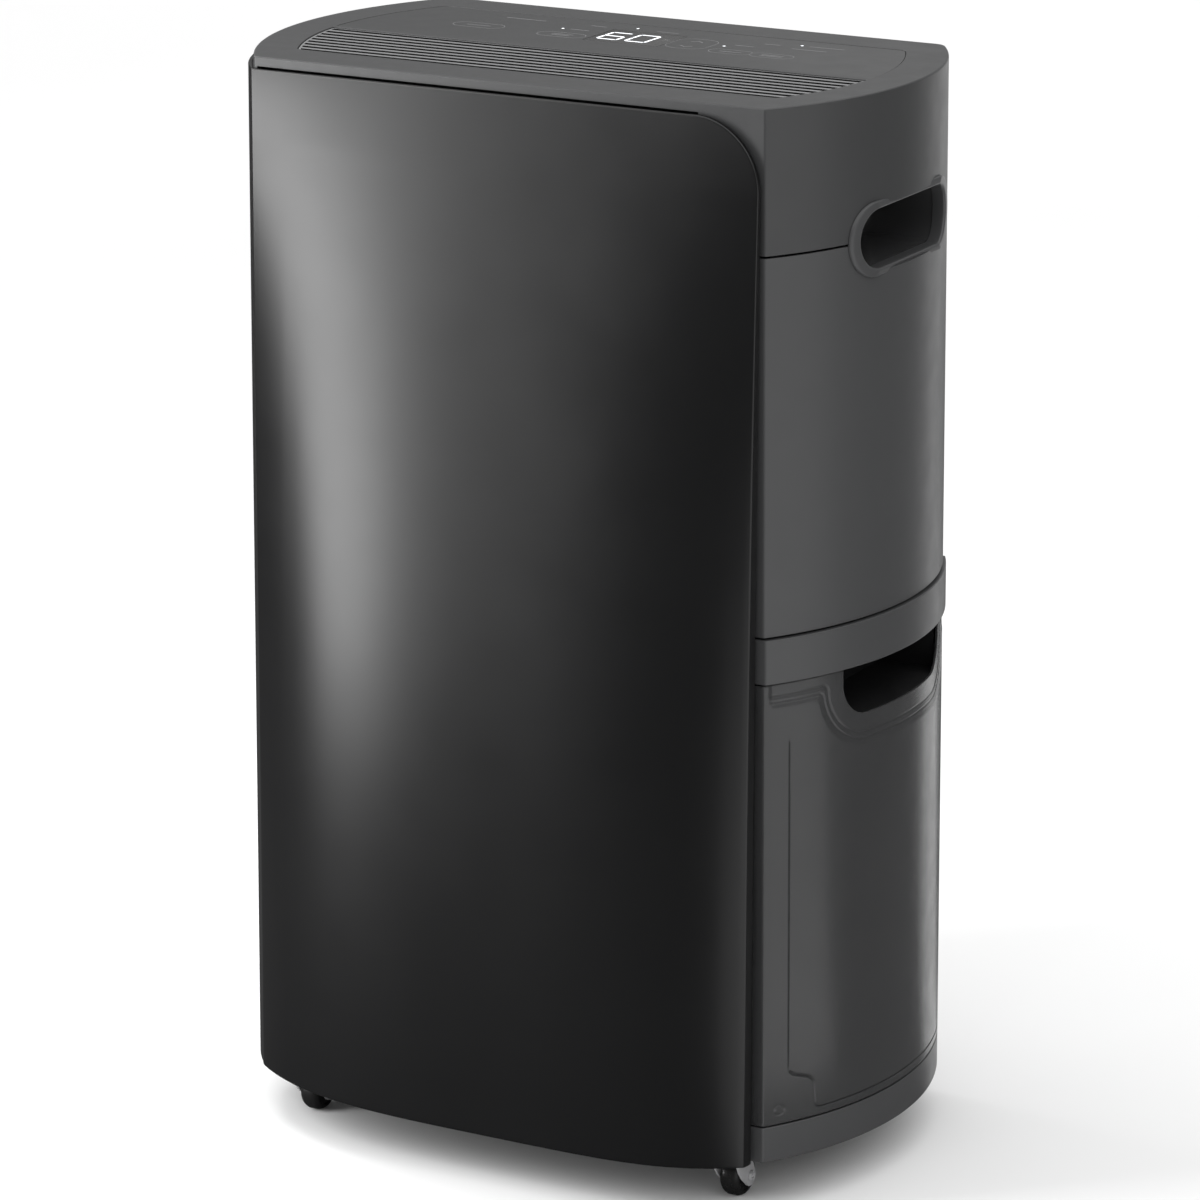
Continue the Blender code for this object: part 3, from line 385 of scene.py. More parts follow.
def smooth(thing, angle=32, bevel=0.0, segments=2, wall=False):
    """Rounds sharp edges, then shades smooth between edges sharper than the angle."""
    if bevel:
        modifier = thing.modifiers.new("edge", "BEVEL")
        modifier.width = bevel
        modifier.segments = segments
        modifier.limit_method = "ANGLE"
        modifier.angle_limit = math.radians(40)
        modifier.use_clamp_overlap = True
        apply_modifiers(thing)
    mesh = thing.data
    mesh.shade_smooth()
    mesh.set_sharp_from_angle(angle=math.radians(angle))
    modifier = thing.modifiers.new("normals", "WEIGHTED_NORMAL")
    modifier.keep_sharp = True
    modifier.weight = 70
    apply_modifiers(thing)
    if wall:
        mesh = thing.data
        normals = [corner.vector.copy() for corner in mesh.corner_normals]
        for loop in mesh.loops:
            exact = wall_normal(mesh.vertices[loop.vertex_index].co)
            if exact and exact.dot(normals[loop.index]) > 0.9:
                normals[loop.index] = exact
        mesh.normals_split_custom_set(normals)
    return thing


def place(thing, body, material, *nodes, slot=None, lift=CABINET_LIFT):
    """Lifts a finished piece to its height, gives it its material and body, and hides the CAD nodes it stands
    for. The slot is worked out but not given to the piece.
    """
    thing.data.transform(Matrix.Translation((0.0, 0.0, lift)))
    thing.data.materials.clear()
    thing.data.materials.append(M[material])
    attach(thing, body)
    if nodes:
        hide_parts(*nodes)
    slot or SLOT_OF[nodes[0]]
    return thing


def refined(node, name, angle=32, bevel=0.0004, segments=2):
    """A copy of a CAD node with its edges rounded."""
    work = bmesh.new()
    work.from_mesh(NODES[node].data)
    work.transform(Matrix.Translation((0.0, 0.0, -CABINET_LIFT)) @ NODES[node].matrix_world)
    bmesh.ops.remove_doubles(work, verts=work.verts, dist=2e-6)
    flat = math.radians(0.5)
    bmesh.ops.dissolve_limit(work, angle_limit=flat, verts=work.verts, edges=work.edges)
    thing = new_object(name, work)
    return smooth(thing, angle, bevel, segments)


# ---------------------------------------------------------------- materials
def node_tree(name):
    material = bpy.data.materials.new(name)
    material.use_nodes = True
    tree = material.node_tree
    return material, tree, tree.nodes["Principled BSDF"]


def add(tree, kind, **values):
    node = tree.nodes.new(kind)
    for key, value in values.items():
        setattr(node, key, value)
    return node


def noise(tree, scale, detail=3.0, stretch=None):
    """Object-space noise, stretched along one axis for drawn or brushed metal."""
    where = add(tree, "ShaderNodeTexCoord")
    texture = add(tree, "ShaderNodeTexNoise")
    texture.inputs["Scale"].default_value = scale
    texture.inputs["Detail"].default_value = detail
    source = where.outputs["Object"]
    if stretch:
        mapping = add(tree, "ShaderNodeMapping")
        mapping.inputs["Scale"].default_value = stretch
        tree.links.new(source, mapping.inputs["Vector"])
        source = mapping.outputs["Vector"]
    tree.links.new(source, texture.inputs["Vector"])
    return texture.outputs["Fac"]


def ranged(tree, source, low, high, from_low=0.3, from_high=0.7):
    node = add(tree, "ShaderNodeMapRange")
    node.inputs["From Min"].default_value = from_low
    node.inputs["From Max"].default_value = from_high
    node.inputs["To Min"].default_value = low
    node.inputs["To Max"].default_value = high
    tree.links.new(source, node.inputs["Value"])
    return node.outputs["Result"]


def blended(tree, share, first, second):
    node = add(tree, "ShaderNodeMix", data_type="RGBA")
    tree.links.new(share, node.inputs["Factor"])
    node.inputs["A"].default_value = (*first, 1.0)
    node.inputs["B"].default_value = (*second, 1.0)
    return node.outputs["Result"]


def bumped(tree, shader, height, strength, distance):
    bump = add(tree, "ShaderNodeBump")
    bump.inputs["Strength"].default_value = strength
    bump.inputs["Distance"].default_value = distance
    tree.links.new(height, bump.inputs["Height"])
    tree.links.new(bump.outputs["Normal"], shader.inputs["Normal"])


def tinted(colour, factor):
    return tuple(min(1.0, channel * factor) for channel in colour)


def coloured(tree, shader, clouds, first, second):
    """A base colour that drifts between two tints."""
    mixed = blended(tree, ranged(tree, clouds, 0.0, 1.0), first, second)
    tree.links.new(mixed, shader.inputs["Base Color"])
    return mixed


def roughened(tree, shader, patches, low, high):
    tree.links.new(ranged(tree, patches, low, high), shader.inputs["Roughness"])


def surface(name, colour, rough, vary=0.04, tint=0.05, specular=0.5, metallic=0.0, grain=0.0,
            grain_scale=1500.0, stretch=None, cloud_scale=9.0):
    """A solid material: cloudy tint, uneven roughness, and a fine moulded or drawn grain."""
    material, tree, shader = node_tree(name)
    coloured(tree, shader, noise(tree, cloud_scale, 4.0), tinted(colour, 1 - tint), tinted(colour, 1 + tint))
    roughened(tree, shader, noise(tree, cloud_scale * 7, 5.0, stretch), rough - vary, rough + vary)
    shader.inputs["Metallic"].default_value = metallic
    shader.inputs["Specular IOR Level"].default_value = specular
    if grain:
        bumped(tree, shader, noise(tree, grain_scale, 2.0, stretch), grain, 0.0002)
    return material


def smoke_plastic(name):
    material, tree, shader = node_tree(name)
    coloured(tree, shader, noise(tree, 7.0, 3.0), (0.080, 0.081, 0.083), (0.092, 0.093, 0.095))
    roughened(tree, shader, noise(tree, 60.0, 4.0), 0.20, 0.27)
    shader.inputs["IOR"].default_value = 1.49
    shader.inputs["Transmission Weight"].default_value = 0.62
    bumped(tree, shader, noise(tree, 900.0, 2.0), 0.03, 0.0002)
    return material


def glow(name, colour, strength):
    material, tree, shader = node_tree(name)
    mixed = coloured(tree, shader, noise(tree, 400.0, 2.0), tinted(colour, 0.93), colour)
    tree.links.new(mixed, shader.inputs["Emission Color"])
    shader.inputs["Emission Strength"].default_value = strength
    roughened(tree, shader, noise(tree, 90.0), 0.35, 0.45)
    return material


def woven(name, colour):
    """Threads with a fine twist along them."""
    material, tree, shader = node_tree(name)
    where = add(tree, "ShaderNodeTexCoord")
    wave = add(tree, "ShaderNodeTexWave", bands_direction="DIAGONAL")
    wave.inputs["Scale"].default_value = 900.0
    wave.inputs["Distortion"].default_value = 1.5
    tree.links.new(where.outputs["Object"], wave.inputs["Vector"])
    mixed = blended(tree, wave.outputs["Fac"], tinted(colour, 0.8), tinted(colour, 1.15))
    tree.links.new(mixed, shader.inputs["Base Color"])
    tree.links.new(ranged(tree, wave.outputs["Fac"], 0.55, 0.75, 0.0, 1.0), shader.inputs["Roughness"])
    bumped(tree, shader, wave.outputs["Fac"], 0.4, 0.0001)
    return material


M = {
    "cabinet": surface("cabinet_grey", (0.052, 0.0525, 0.054), 0.36, vary=0.03, tint=0.03, grain=0.10,
                       grain_scale=2200.0, specular=0.45),
    "top": surface("top_grey", (0.040, 0.0405, 0.0416), 0.40, vary=0.03, tint=0.03, grain=0.10,
                   grain_scale=2200.0, specular=0.45),
    "panel": surface("panel_gloss", (0.0036, 0.0036, 0.0039), 0.31, vary=0.012, tint=0.06, specular=0.5,
                     cloud_scale=3.0),
    "touch": surface("control_gloss", (0.034, 0.0344, 0.0355), 0.34, vary=0.02, tint=0.03, specular=0.45,
                     grain=0.04, grain_scale=2600.0),
    "inner": surface("inner_black", (0.0095, 0.0095, 0.0100), 0.46, vary=0.06, tint=0.10, grain=0.15),
    # The finger cup's colour is lifted far above the front's black: painted reflection, standing in for the
    # faint reflections inside the shaded cup.
    "cup": surface("cup_gloss", (0.0420, 0.0420, 0.0430), 0.16, vary=0.02, tint=0.06, specular=0.5),
    "smoke": smoke_plastic("smoke_clear"),
    # The slat grey is far lighter than the cabinet's grey: painted highlight on the outlet bars' tops.
    "slat": surface("slat_grey", (0.190, 0.191, 0.194), 0.34, vary=0.03, tint=0.04, grain=0.08,
                    grain_scale=2000.0),
    "lens": surface("display_dark", (0.0045, 0.0045, 0.0050), 0.13, vary=0.02, tint=0.05),
    "steel": surface("zinc_steel", (0.48, 0.48, 0.49), 0.33, vary=0.07, tint=0.08, metallic=1.0, grain=0.12,
                     grain_scale=700.0, stretch=(1.0, 9.0, 1.0), cloud_scale=40.0),
    "zinc": surface("zinc_plate", (0.50, 0.50, 0.51), 0.34, vary=0.06, tint=0.06, metallic=0.35, grain=0.10,
                    grain_scale=700.0, cloud_scale=40.0),
    "can": surface("can_aluminium", (0.60, 0.605, 0.61), 0.30, vary=0.06, tint=0.06, metallic=1.0,
                   grain=0.10, grain_scale=500.0, stretch=(14.0, 14.0, 1.0)),
    "motor": surface("motor_paint", (0.22, 0.225, 0.23), 0.42, vary=0.05, tint=0.06, grain=0.20,
                     grain_scale=900.0),
    "copper": surface("copper_pipe", (0.72, 0.36, 0.22), 0.28, vary=0.08, tint=0.14, metallic=1.0,
                      grain=0.08, grain_scale=600.0, cloud_scale=30.0),
    "fins": surface("coil_fins", (0.62, 0.63, 0.65), 0.32, vary=0.07, tint=0.06, metallic=1.0, grain=0.15,
                    grain_scale=900.0, stretch=(1.0, 1.0, 0.2), cloud_scale=25.0),
    "enamel": surface("black_enamel", (0.012, 0.012, 0.013), 0.26, vary=0.06, tint=0.12, grain=0.25,
                      grain_scale=500.0),
    "rubber": surface("black_rubber", (0.018, 0.018, 0.018), 0.72, vary=0.08, tint=0.12, grain=0.35,
                      grain_scale=900.0),
    "white": surface("inner_white", (0.56, 0.565, 0.55), 0.42, vary=0.05, tint=0.04, grain=0.12),
    "board": surface("board_green", (0.025, 0.13, 0.05), 0.36, vary=0.08, tint=0.20, grain=0.30,
                     grain_scale=600.0, cloud_scale=60.0),
    "net": woven("filter_net", (0.13, 0.13, 0.14)),
    "wheel": surface("wheel_black", (0.012, 0.012, 0.012), 0.30, vary=0.06, tint=0.10, grain=0.12,
                     grain_scale=700.0),
    "print": surface("key_print", (0.20, 0.20, 0.205), 0.45, vary=0.03, tint=0.05),
    "lit": glow("display_light", (0.93, 0.96, 1.0), 0.85),
}


# ---------------------------------------------------------------- top of the cabinet
def handle_hole(side):
    return prism("hole", pill((MID_Y, HANDLE_Z), 0.112, 0.037), "x", side * 0.12, side * 0.22)


def edged_cutter(outline, deep, top, edge):
    """A cutter that leaves a small chamfer at the top edge."""
    levels = ((deep, 0.0), (top - edge, 0.0), (top + edge, 2 * edge))
    return loft("cutter", [[(x, y, z) for x, y in grown(outline, out)] for z, out in levels])


def make_top_cover():
    low = UPPER_SEAM_Z + SEAM / 2
    cover = slab("cabinet_top", plan, low, TOP_Z, 0.0004, 0.0012, steps=4)
    cut(cover, slab("inside", lambda z, inset: plan(z, WALL), low - 0.001, TOP_Z - 0.003))
    ends = 0.0035
    last = ARC_STEPS
    outlet = rounded(
        across_region(TOP_Z, RIM_INSET, GRILLE_FRONT_Y, GRILLE_BACK_Y),
        {0: ends, last: 0.0010, last + 1: 0.0010, 2 * last + 1: ends},
    )
    cut(cover, edged_cutter(outlet, 0.60, TOP_Z, 0.0003))
    touch = across_region(TOP_Z, RIM_INSET, *TOUCH_YS)
    touch = rounded(touch, {last: 0.0060, last + 1: 0.0060})
    cut(cover, edged_cutter(touch, TOP_Z - 0.0014, TOP_Z, 0.0002))
    cut(cover, box("display", (-0.023, 0.037, 0.60), (0.019, 0.068, 0.63)))
    cut(cover, box("shadow_gap", (-0.158, FRONT_Y - 0.001, 0.6070), (0.120, FRONT_Y + WALL + 0.001, 0.6099)))
    for side in (1, -1):
        cut(cover, handle_hole(side))
    smooth(cover, 30, wall=True)
    return place(cover, "housing", "top", "top_cover")


def make_grille():
    """A plate with one slot per gap. The slots widen downwards. Only the bars' tops keep the light slat colour,
    a painted highlight; the slot flanks and the underside are painted near-black as painted shade in the slots.
    """
    fit = RIM_INSET + 0.0004
    low, top = TOP_Z - 0.0046, TOP_Z - 0.0006
    last = ARC_STEPS

    def outline(z, inset):
        front, back = GRILLE_FRONT_Y + 0.0004 + inset, GRILLE_BACK_Y - 0.0004 - inset
        points = across_region(TOP_Z, fit + inset, front, back)
        return rounded(points, {0: 0.0030, last: 0.0010, last + 1: 0.0010, 2 * last + 1: 0.0030})

    plate = slab("outlet_louvres", outline, low, top, 0.0, 0.0003, steps=2)
    gap, undercut = 0.0047, 0.0011
    first = GRILLE_FRONT_Y + 0.0014
    pitch = (GRILLE_BACK_Y - 0.0014 - gap - first) / (GRILLE_GAPS - 1)
    levels = ((low - 0.001, undercut), (top - 0.0013, undercut), (top - 0.0002, 0.0), (top + 0.001, 0.0))
    for i in range(GRILLE_GAPS):
        front = first + i * pitch
        rings = []
        for z, grow in levels:
            near, far = front - grow, front + gap + grow
            left, right = side_x(TOP_Z, near, fit + 0.0014), side_x(TOP_Z, far, fit + 0.0014)
            rings.append([(-left, near, z), (left, near, z), (right, far, z), (-right, far, z)])
        cut(plate, loft("slot", rings))
    start, end = GRILLE_FRONT_Y + 0.001, GRILLE_BACK_Y - 0.001
    for x in (-0.080, 0.0, 0.080):
        join(plate, box("tie", (x - 0.0012, start, low), (x + 0.0012, end, low + 0.0012)))
    smooth(plate, 35, bevel=0.00012, segments=2)
    plate = place(plate, "housing", "slat", "outlet_grille")
    # Painted shade: every face below the bars' tops that does not face up gets the near-black inner material.
    plate.data.materials.append(M["inner"])
    for face in plate.data.polygons:
        face.material_index = 1 if face.normal.z < 0.25 and face.center.z < top + CABINET_LIFT - 0.0002 else 0
    return plate


def printed(name, outline, lift=0.0):
    """Ink on the control surface."""
    return prism(name, outline, "z", SURFACE_Z + lift, SURFACE_Z + lift + PRINT)


def bar_mark(centre, length, width=0.0007):
    """A thin printed bar with round ends."""
    return printed("mark", pill(centre, max(length, width + 1e-5), width, steps=5))


def key_outline(centre, size, radius, line=0.00035):
    """A thin printed ring round a key."""
    def corners(grow):
        w, h, r = size[0] / 2 + grow, size[1] / 2 + grow, radius + grow
        points = [(centre[0] - w, centre[1] - h), (centre[0] + w, centre[1] - h)]
        points += [(centre[0] + w, centre[1] + h), (centre[0] - w, centre[1] + h)]
        return rounded(points, {i: r for i in range(4)}, steps=5)

    low, high = SURFACE_Z, SURFACE_Z + PRINT
    pairs = zip(corners(0.0), corners(line))
    return loft("ring", [[(*a, low), (*b, low), (*b, high), (*a, high)] for a, b in pairs], closed=True)


def digit(centre, lit, width=0.0125, height=0.0205, thick=0.0015):
    """Seven bars, a to g, of which the named ones are lit."""
    half_w, half_h = width / 2, height / 2
    shrink = thick * 0.16
    bars = {
        "a": ((0, half_h), True), "g": ((0, 0), True), "d": ((0, -half_h), True),
        "f": ((-half_w, half_h / 2), False), "b": ((half_w, half_h / 2), False),
        "e": ((-half_w, -half_h / 2), False), "c": ((half_w, -half_h / 2), False),
    }
    made = []
    for name in lit:
        (dx, dy), flat = bars[name]
        reach = (width if flat else half_h) / 2 - shrink
        t = thick / 2
        shape = [(-reach, 0), (-reach + t, -t), (reach - t, -t), (reach, 0), (reach - t, t), (-reach + t, t)]
        if not flat:
            shape = [(-b, a) for a, b in shape]
        points = [(centre[0] + dx + a, centre[1] + dy + b) for a, b in shape]
        made.append(printed("bar", points, lift=PRINT / 2))
    return made


def make_controls():
    low, top = TOP_Z - 0.0011, SURFACE_Z
    last = ARC_STEPS

    def outline(z, inset):
        fit = RIM_INSET + GAP + inset
        points = across_region(TOP_Z, fit, TOUCH_YS[0] + GAP + inset, TOUCH_YS[1] - GAP - inset)
        return rounded(points, {last: 0.0057, last + 1: 0.0057})

    overlay = slab("control_surface", outline, low, top, 0.0, 0.0002, steps=2)
    low_x, high_x, low_y, high_y = -0.026, 0.022, 0.034, 0.071
    cut(overlay, box("hole", (low_x, low_y, 0.60), (high_x, high_y, 0.63)))
    smooth(overlay, 30)
    place(overlay, "housing", "touch", "touch_panel")

    def lens_outline(z, inset):
        grow = GAP + inset
        return [(low_x + grow, low_y + grow), (high_x - grow, low_y + grow), (high_x - grow, high_y - grow),
                (low_x + grow, high_y - grow)]

    lens = slab("display_window", lens_outline, low, top, 0.0, 0.0002, steps=2)
    place(smooth(lens, 30), "housing", "lens", "display_lens")

    digits = gather("display_digits", digit((-0.0150, 0.0525), "afgcde") + digit((0.0030, 0.0525), "abcdef"))
    place(smooth(digits, 30), "housing", "lit", slot="display_dark")
    sign = [bar_mark(centre, 0.0007) for centre in ((0.0154, 0.0565), (0.0176, 0.0545))]
    slash = printed("slash", [(0.0149, 0.0540), (0.0153, 0.0538), (0.0181, 0.0570), (0.0177, 0.0572)])
    place(smooth(gather("display_unit", sign + [slash]), 30), "housing", "print", slot="display_dark")

    keys = (
        ((-0.1005, 0.0460), (0.032, 0.0125), 0.0062), ((-0.0440, 0.0420), (0.030, 0.0125), 0.0062),
        ((0.0350, 0.0517), (0.025, 0.0300), 0.0090), ((0.0655, 0.0400), (0.026, 0.0115), 0.0057),
        ((0.0915, 0.0400), (0.026, 0.0115), 0.0057),
    )
    rings = [key_outline(*key) for key in keys]
    place(smooth(gather("key_outlines", rings), 30), "housing", "print", slot="control_gloss")

    def chevron(centre, up):
        reach, rise, t = 0.0038, 0.0026 * up, 0.0004
        x, y = centre
        foot, peak = y - rise / 2, y + rise / 2
        points = [(x - reach, foot), (x, peak), (x + reach, foot)]
        points += [(x + reach, foot - t * 2), (x, peak - t * 2), (x - reach, foot - t * 2)]
        return printed("chevron", points)

    marks = [chevron((0.0350, 0.0595), 1), chevron((0.0350, 0.0440), -1)]
    dashes = (
        (-0.1005, 0.0460, 0.016), (-0.0440, 0.0435, 0.014), (-0.0440, 0.0405, 0.012), (0.0655, 0.0400, 0.014),
        (0.0915, 0.0412, 0.014), (0.0915, 0.0385, 0.014), (-0.0860, 0.0760, 0.026), (-0.0420, 0.0600, 0.012),
        (-0.0380, 0.0755, 0.010), (0.0640, 0.0600, 0.012), (0.0760, 0.0715, 0.010), (0.1080, 0.0760, 0.022),
        (0.1020, 0.0655, 0.022), (0.0060, 0.0770, 0.014),
    )
    marks += [bar_mark((x, y), length) for x, y, length in dashes]
    place(smooth(gather("key_marks", marks), 30), "housing", "print", slot="control_gloss")
    dots = [(-0.0530, 0.0600), (-0.0150, 0.0800), (0.0540, 0.0545), (0.0920, 0.0765)]
    lamps = [printed("lamp", circle(centre, 0.0009, 12)) for centre in dots]
    place(smooth(gather("key_lamps", lamps), 30), "housing", "lit", slot="control_gloss")


# ---------------------------------------------------------------- cabinet walls
def cover_outline(z, inset, side):
    outer = side_arc(z, 0.0, FRONT_Y, REAR_SEAM_Y - GAP, side)
    inner = side_arc(z, WALL, REAR_SEAM_Y - GAP, FRONT_Y + WALL, side)
    start_x = side * (half_width(z) - CORNER_RETURN)
    points = [(start_x, FRONT_Y), *outer, *inner, (start_x, FRONT_Y + WALL)]
    return grown(rounded(points, {1: FRONT_ROUND}), -inset)


def make_side_covers():
    top = UPPER_SEAM_Z - SEAM / 2
    for word, side, low in (("left", -1, BASE_TOP_Z + GAP), ("right", 1, BAND_TOP_Z + SEAM)):
        cover = slab(f"side_wall_{word}", lambda z, inset: cover_outline(z, inset, side), low, top,
                     0.0004, 0.0004)
        cut(cover, handle_hole(side))
        smooth(cover, 30, wall=True)
        place(cover, "housing", "cabinet", f"{word}_side_cover")


def make_rear_cover():
    def outline(z, inset):
        def half(offset, side):
            back = BACK_Y - offset
            arc = side_arc(z, offset, REAR_SEAM_Y, back, side, steps=5)
            near = (side * half_width(z) / 2, back)
            return arc[:-1] + fillet(arc[-2], arc[-1], near, REAR_ROUND - offset, steps=8)

        points = half(0.0, 1) + half(0.0, -1)[::-1] + half(WALL, -1) + half(WALL, 1)[::-1]
        return grown(points, -inset)

    cover = slab("rear_wall", outline, BASE_TOP_Z + GAP, UPPER_SEAM_Z - SEAM / 2, 0.0004, 0.0004)
    cut(cover, box("window", (-0.122, 0.10, 0.360), (0.122, 0.13, 0.520)))
    cut(cover, cylinder("hole", "y", DRAIN_XZ, 0.0083, 0.10, 0.13))
    cut(cover, cylinder("hole", "y", GLAND_XZ, 0.0103, 0.10, 0.13))
    for centre in SCREW_XZ:
        cut(cover, cylinder("screw", "y", centre, 0.0042, 0.1185, 0.13, 24))
    smooth(cover, 30, wall=True)
    place(cover, "housing", "cabinet", "rear_cover")


def make_base():
    pan = slab("base", plan, BASE_Z, BASE_TOP_Z, 0.0010, 0.0005, steps=3)
    cut(pan, slab("hollow", lambda z, inset: plan(z, 0.0022), BASE_Z - 0.001, BASE_TOP_Z - 0.0040))
    for x in (-CASTER_X, CASTER_X):
        for y in CASTER_YS.values():
            cut(pan, cylinder("hole", "z", (x, y), 0.0041, BASE_Z, 0.05))
    for x in (-0.090, -0.045, 0.0, 0.045, 0.090):
        join(pan, box("rib", (x - 0.0009, FRONT_Y + 0.001, 0.0275), (x + 0.0009, BACK_Y - 0.001, 0.0345)))
    for y in (-0.040, 0.009, 0.058):
        join(pan, box("rib", (-0.100, y - 0.0009, 0.0275), (0.100, y + 0.0009, 0.0345)))
    smooth(pan, 30, wall=True)
    place(pan, "housing", "cabinet", "base_pan")


def make_handles():
    """A raised ring that follows the bowed side, and a smooth finger cup behind it."""
    steps = 22
    mouth = pill((MID_Y, HANDLE_Z), 0.104, 0.033, steps)
    neck = pill((MID_Y, HANDLE_Z), 0.1112, 0.0362, steps)
    flange = pill((MID_Y, HANDLE_Z), 0.121, 0.042, steps)
    cup_mouth = pill((MID_Y, HANDLE_Z), 0.1055, 0.0324, steps)
    proud = 0.0020
    face = ((0.0, -0.0030), (0.0, 0.0004), (0.06, 0.0012), (0.16, 0.0018), (0.30, proud), (0.74, proud),
            (0.86, 0.0019), (0.94, 0.0015), (0.985, 0.0009), (1.0, GAP))
    for word, side in (("right", 1), ("left", -1)):
        def at(y, z, lift):
            return (side * (side_x(z, y) + lift), y, z)

        rings = []
        for m, n, f in zip(mouth, neck, flange):
            ring = [at(*m, -0.0060)]
            for share, lift in face:
                ring.append(at(m[0] + (f[0] - m[0]) * share, m[1] + (f[1] - m[1]) * share, lift))
            ring += [at(*n, GAP), at(*n, -0.0060)]
            rings.append(ring)
        bezel = loft(f"handle_ring_{word}", rings, closed=True)
        place(smooth(bezel, 40), "housing", "cabinet", f"handle_bezel_{word}")

        floor = 0.145
        rings = [[(side * 0.143, y, z) for y, z in neck]]
        rings += [[at(y, z, -0.0063) for y, z in outline] for outline in (neck, cup_mouth)]
        for share in (0.25, 0.5, 0.72, 0.86, 0.95, 1.0):
            turn = max(0.0, (share - 0.5) / 0.5)
            shrink = 1 - 0.26 * (1 - math.sqrt(max(0.0, 1 - turn**2)))
            shorten = 1 - (1 - shrink) * 0.4
            ring = []
            for y, z in cup_mouth:
                start = side_x(z, y) - 0.0063
                depth = start + (floor - start) * math.sin(share * math.pi / 2)
                ring.append((side * depth, MID_Y + (y - MID_Y) * shorten, HANDLE_Z + (z - HANDLE_Z) * shrink))
            rings.append(ring)
        cup = loft(f"finger_cup_{word}", rings)
        place(smooth(cup, 40), "housing", "cup", f"handle_cup_{word}")


# ---------------------------------------------------------------- front panel
PANEL_EDGE_X = 0.1588
PANEL_THICK = 0.0024
PANEL_TOP_Z = 0.6089
PANEL_LOW_Z = 0.0175
PANEL_PEAK_X, PANEL_PEAK_Y = 0.020, -0.1410
PANEL_EDGE_LOW_Y = -0.1125
PANEL_LEFT_X, PANEL_LEFT_LOW_Y = -0.1690, -0.1004
PANEL_WRAP_OFFSET = 0.0036
PANEL_WRAP_END_Y = -0.058
PANEL_CORNER = 0.040
PANEL_ROUND = 0.0009


def panel_front_y(x, z):
    """The bowed lower edge fades into a straight upper edge."""
    share = max(0.0, min(1.0, (z - PANEL_LOW_Z) / (PANEL_TOP_Z - PANEL_LOW_Z)))
    top = FRONT_Y - 0.0032
    if x > PANEL_PEAK_X:
        bow = (x - PANEL_PEAK_X) / (PANEL_EDGE_X - PANEL_PEAK_X)
        drop = PANEL_EDGE_LOW_Y - PANEL_PEAK_Y
    else:
        bow = (PANEL_PEAK_X - x) / (PANEL_PEAK_X - PANEL_LEFT_X)
        drop = PANEL_LEFT_LOW_Y - PANEL_PEAK_Y
    low = PANEL_PEAK_Y + drop * bow**3.9
    return top + (1.0 - share**2.4) * (low - top)


def wrap_x(y, z, offset):
    return -side_x(z, y, -offset)


def wrap_offset(y):
    """The wrap lies closer to the cabinet towards the crease, so the crease turns more sharply."""
    share = min(max((-0.076 - y) / 0.025, 0.0), 1.0)
    return PANEL_WRAP_OFFSET - 0.0020 * share * share


def panel_crease(z):
    """Where the front surface meets the part that wraps round the left side."""
    low, high = -0.112, -0.070
    for _ in range(40):
        y = (low + high) / 2
        if panel_front_y(wrap_x(y, z, wrap_offset(y)), z) > y:
            low = y
        else:
            high = y
    return wrap_x(y, z, wrap_offset(y)), y


def panel_edge_x(z):
    """The right edge, which turns into the top edge through the round corner."""
    over = z - (PANEL_TOP_Z - PANEL_CORNER)
    if over <= 0:
        return PANEL_EDGE_X
    return PANEL_EDGE_X - PANEL_CORNER + math.sqrt(max(PANEL_CORNER**2 - over**2, 0.0))


def edge_distance(x, z):
    """How far a point of the front is inside the panel's outline."""
    inside = min(PANEL_TOP_Z - z, z - PANEL_LOW_Z, PANEL_EDGE_X - x)
    across = x - (PANEL_EDGE_X - PANEL_CORNER)
    over = z - (PANEL_TOP_Z - PANEL_CORNER)
    if across > 0 and over > 0:
        inside = min(inside, PANEL_CORNER - math.hypot(across, over))
    return max(inside, 0.0)


def edge_round(distance):
    short = max(PANEL_ROUND - distance, 0.0)
    return PANEL_ROUND - math.sqrt(PANEL_ROUND**2 - short**2)


def panel_path(z):
    """The outer face in plan, from the wrap's rear edge to the right edge, and the crease's place."""
    crease = panel_crease(z)
    wrap = []
    for share in (0.0, 0.006, 0.014, 0.025, 0.2, 0.35, 0.5, 0.6, 0.7, 0.8, 0.88, 0.94):
        y = PANEL_WRAP_END_Y + (crease[1] - PANEL_WRAP_END_Y) * share
        wrap.append((wrap_x(y, z, wrap_offset(y)), y))
    edge = panel_edge_x(z)
    reach = edge - crease[0]
    columns = [0.010 + 0.07 * (i / 8) ** 1.4 for i in range(9)]
    columns += [0.08 + 0.885 * (i / 40) for i in range(1, 41)]
    front = [crease[0] + reach * share for share in columns]
    tail = [edge - step for step in (0.0040, 0.0022, 0.0012, 0.0008, 0.0005, 0.00025, 0.0001, 0.0)]
    front = [min(x, edge - 0.0045) for x in front] + tail
    front = [(x, panel_front_y(x, z)) for x in front]
    share = (z - PANEL_LOW_Z) / (PANEL_TOP_Z - PANEL_LOW_Z)
    radius = 0.0009 + 0.030 * max(0.0, 1 - share) ** 3
    corner = fillet(wrap[-1], crease, front[0], min(radius, 0.012), steps=6)
    return wrap, corner, front, crease


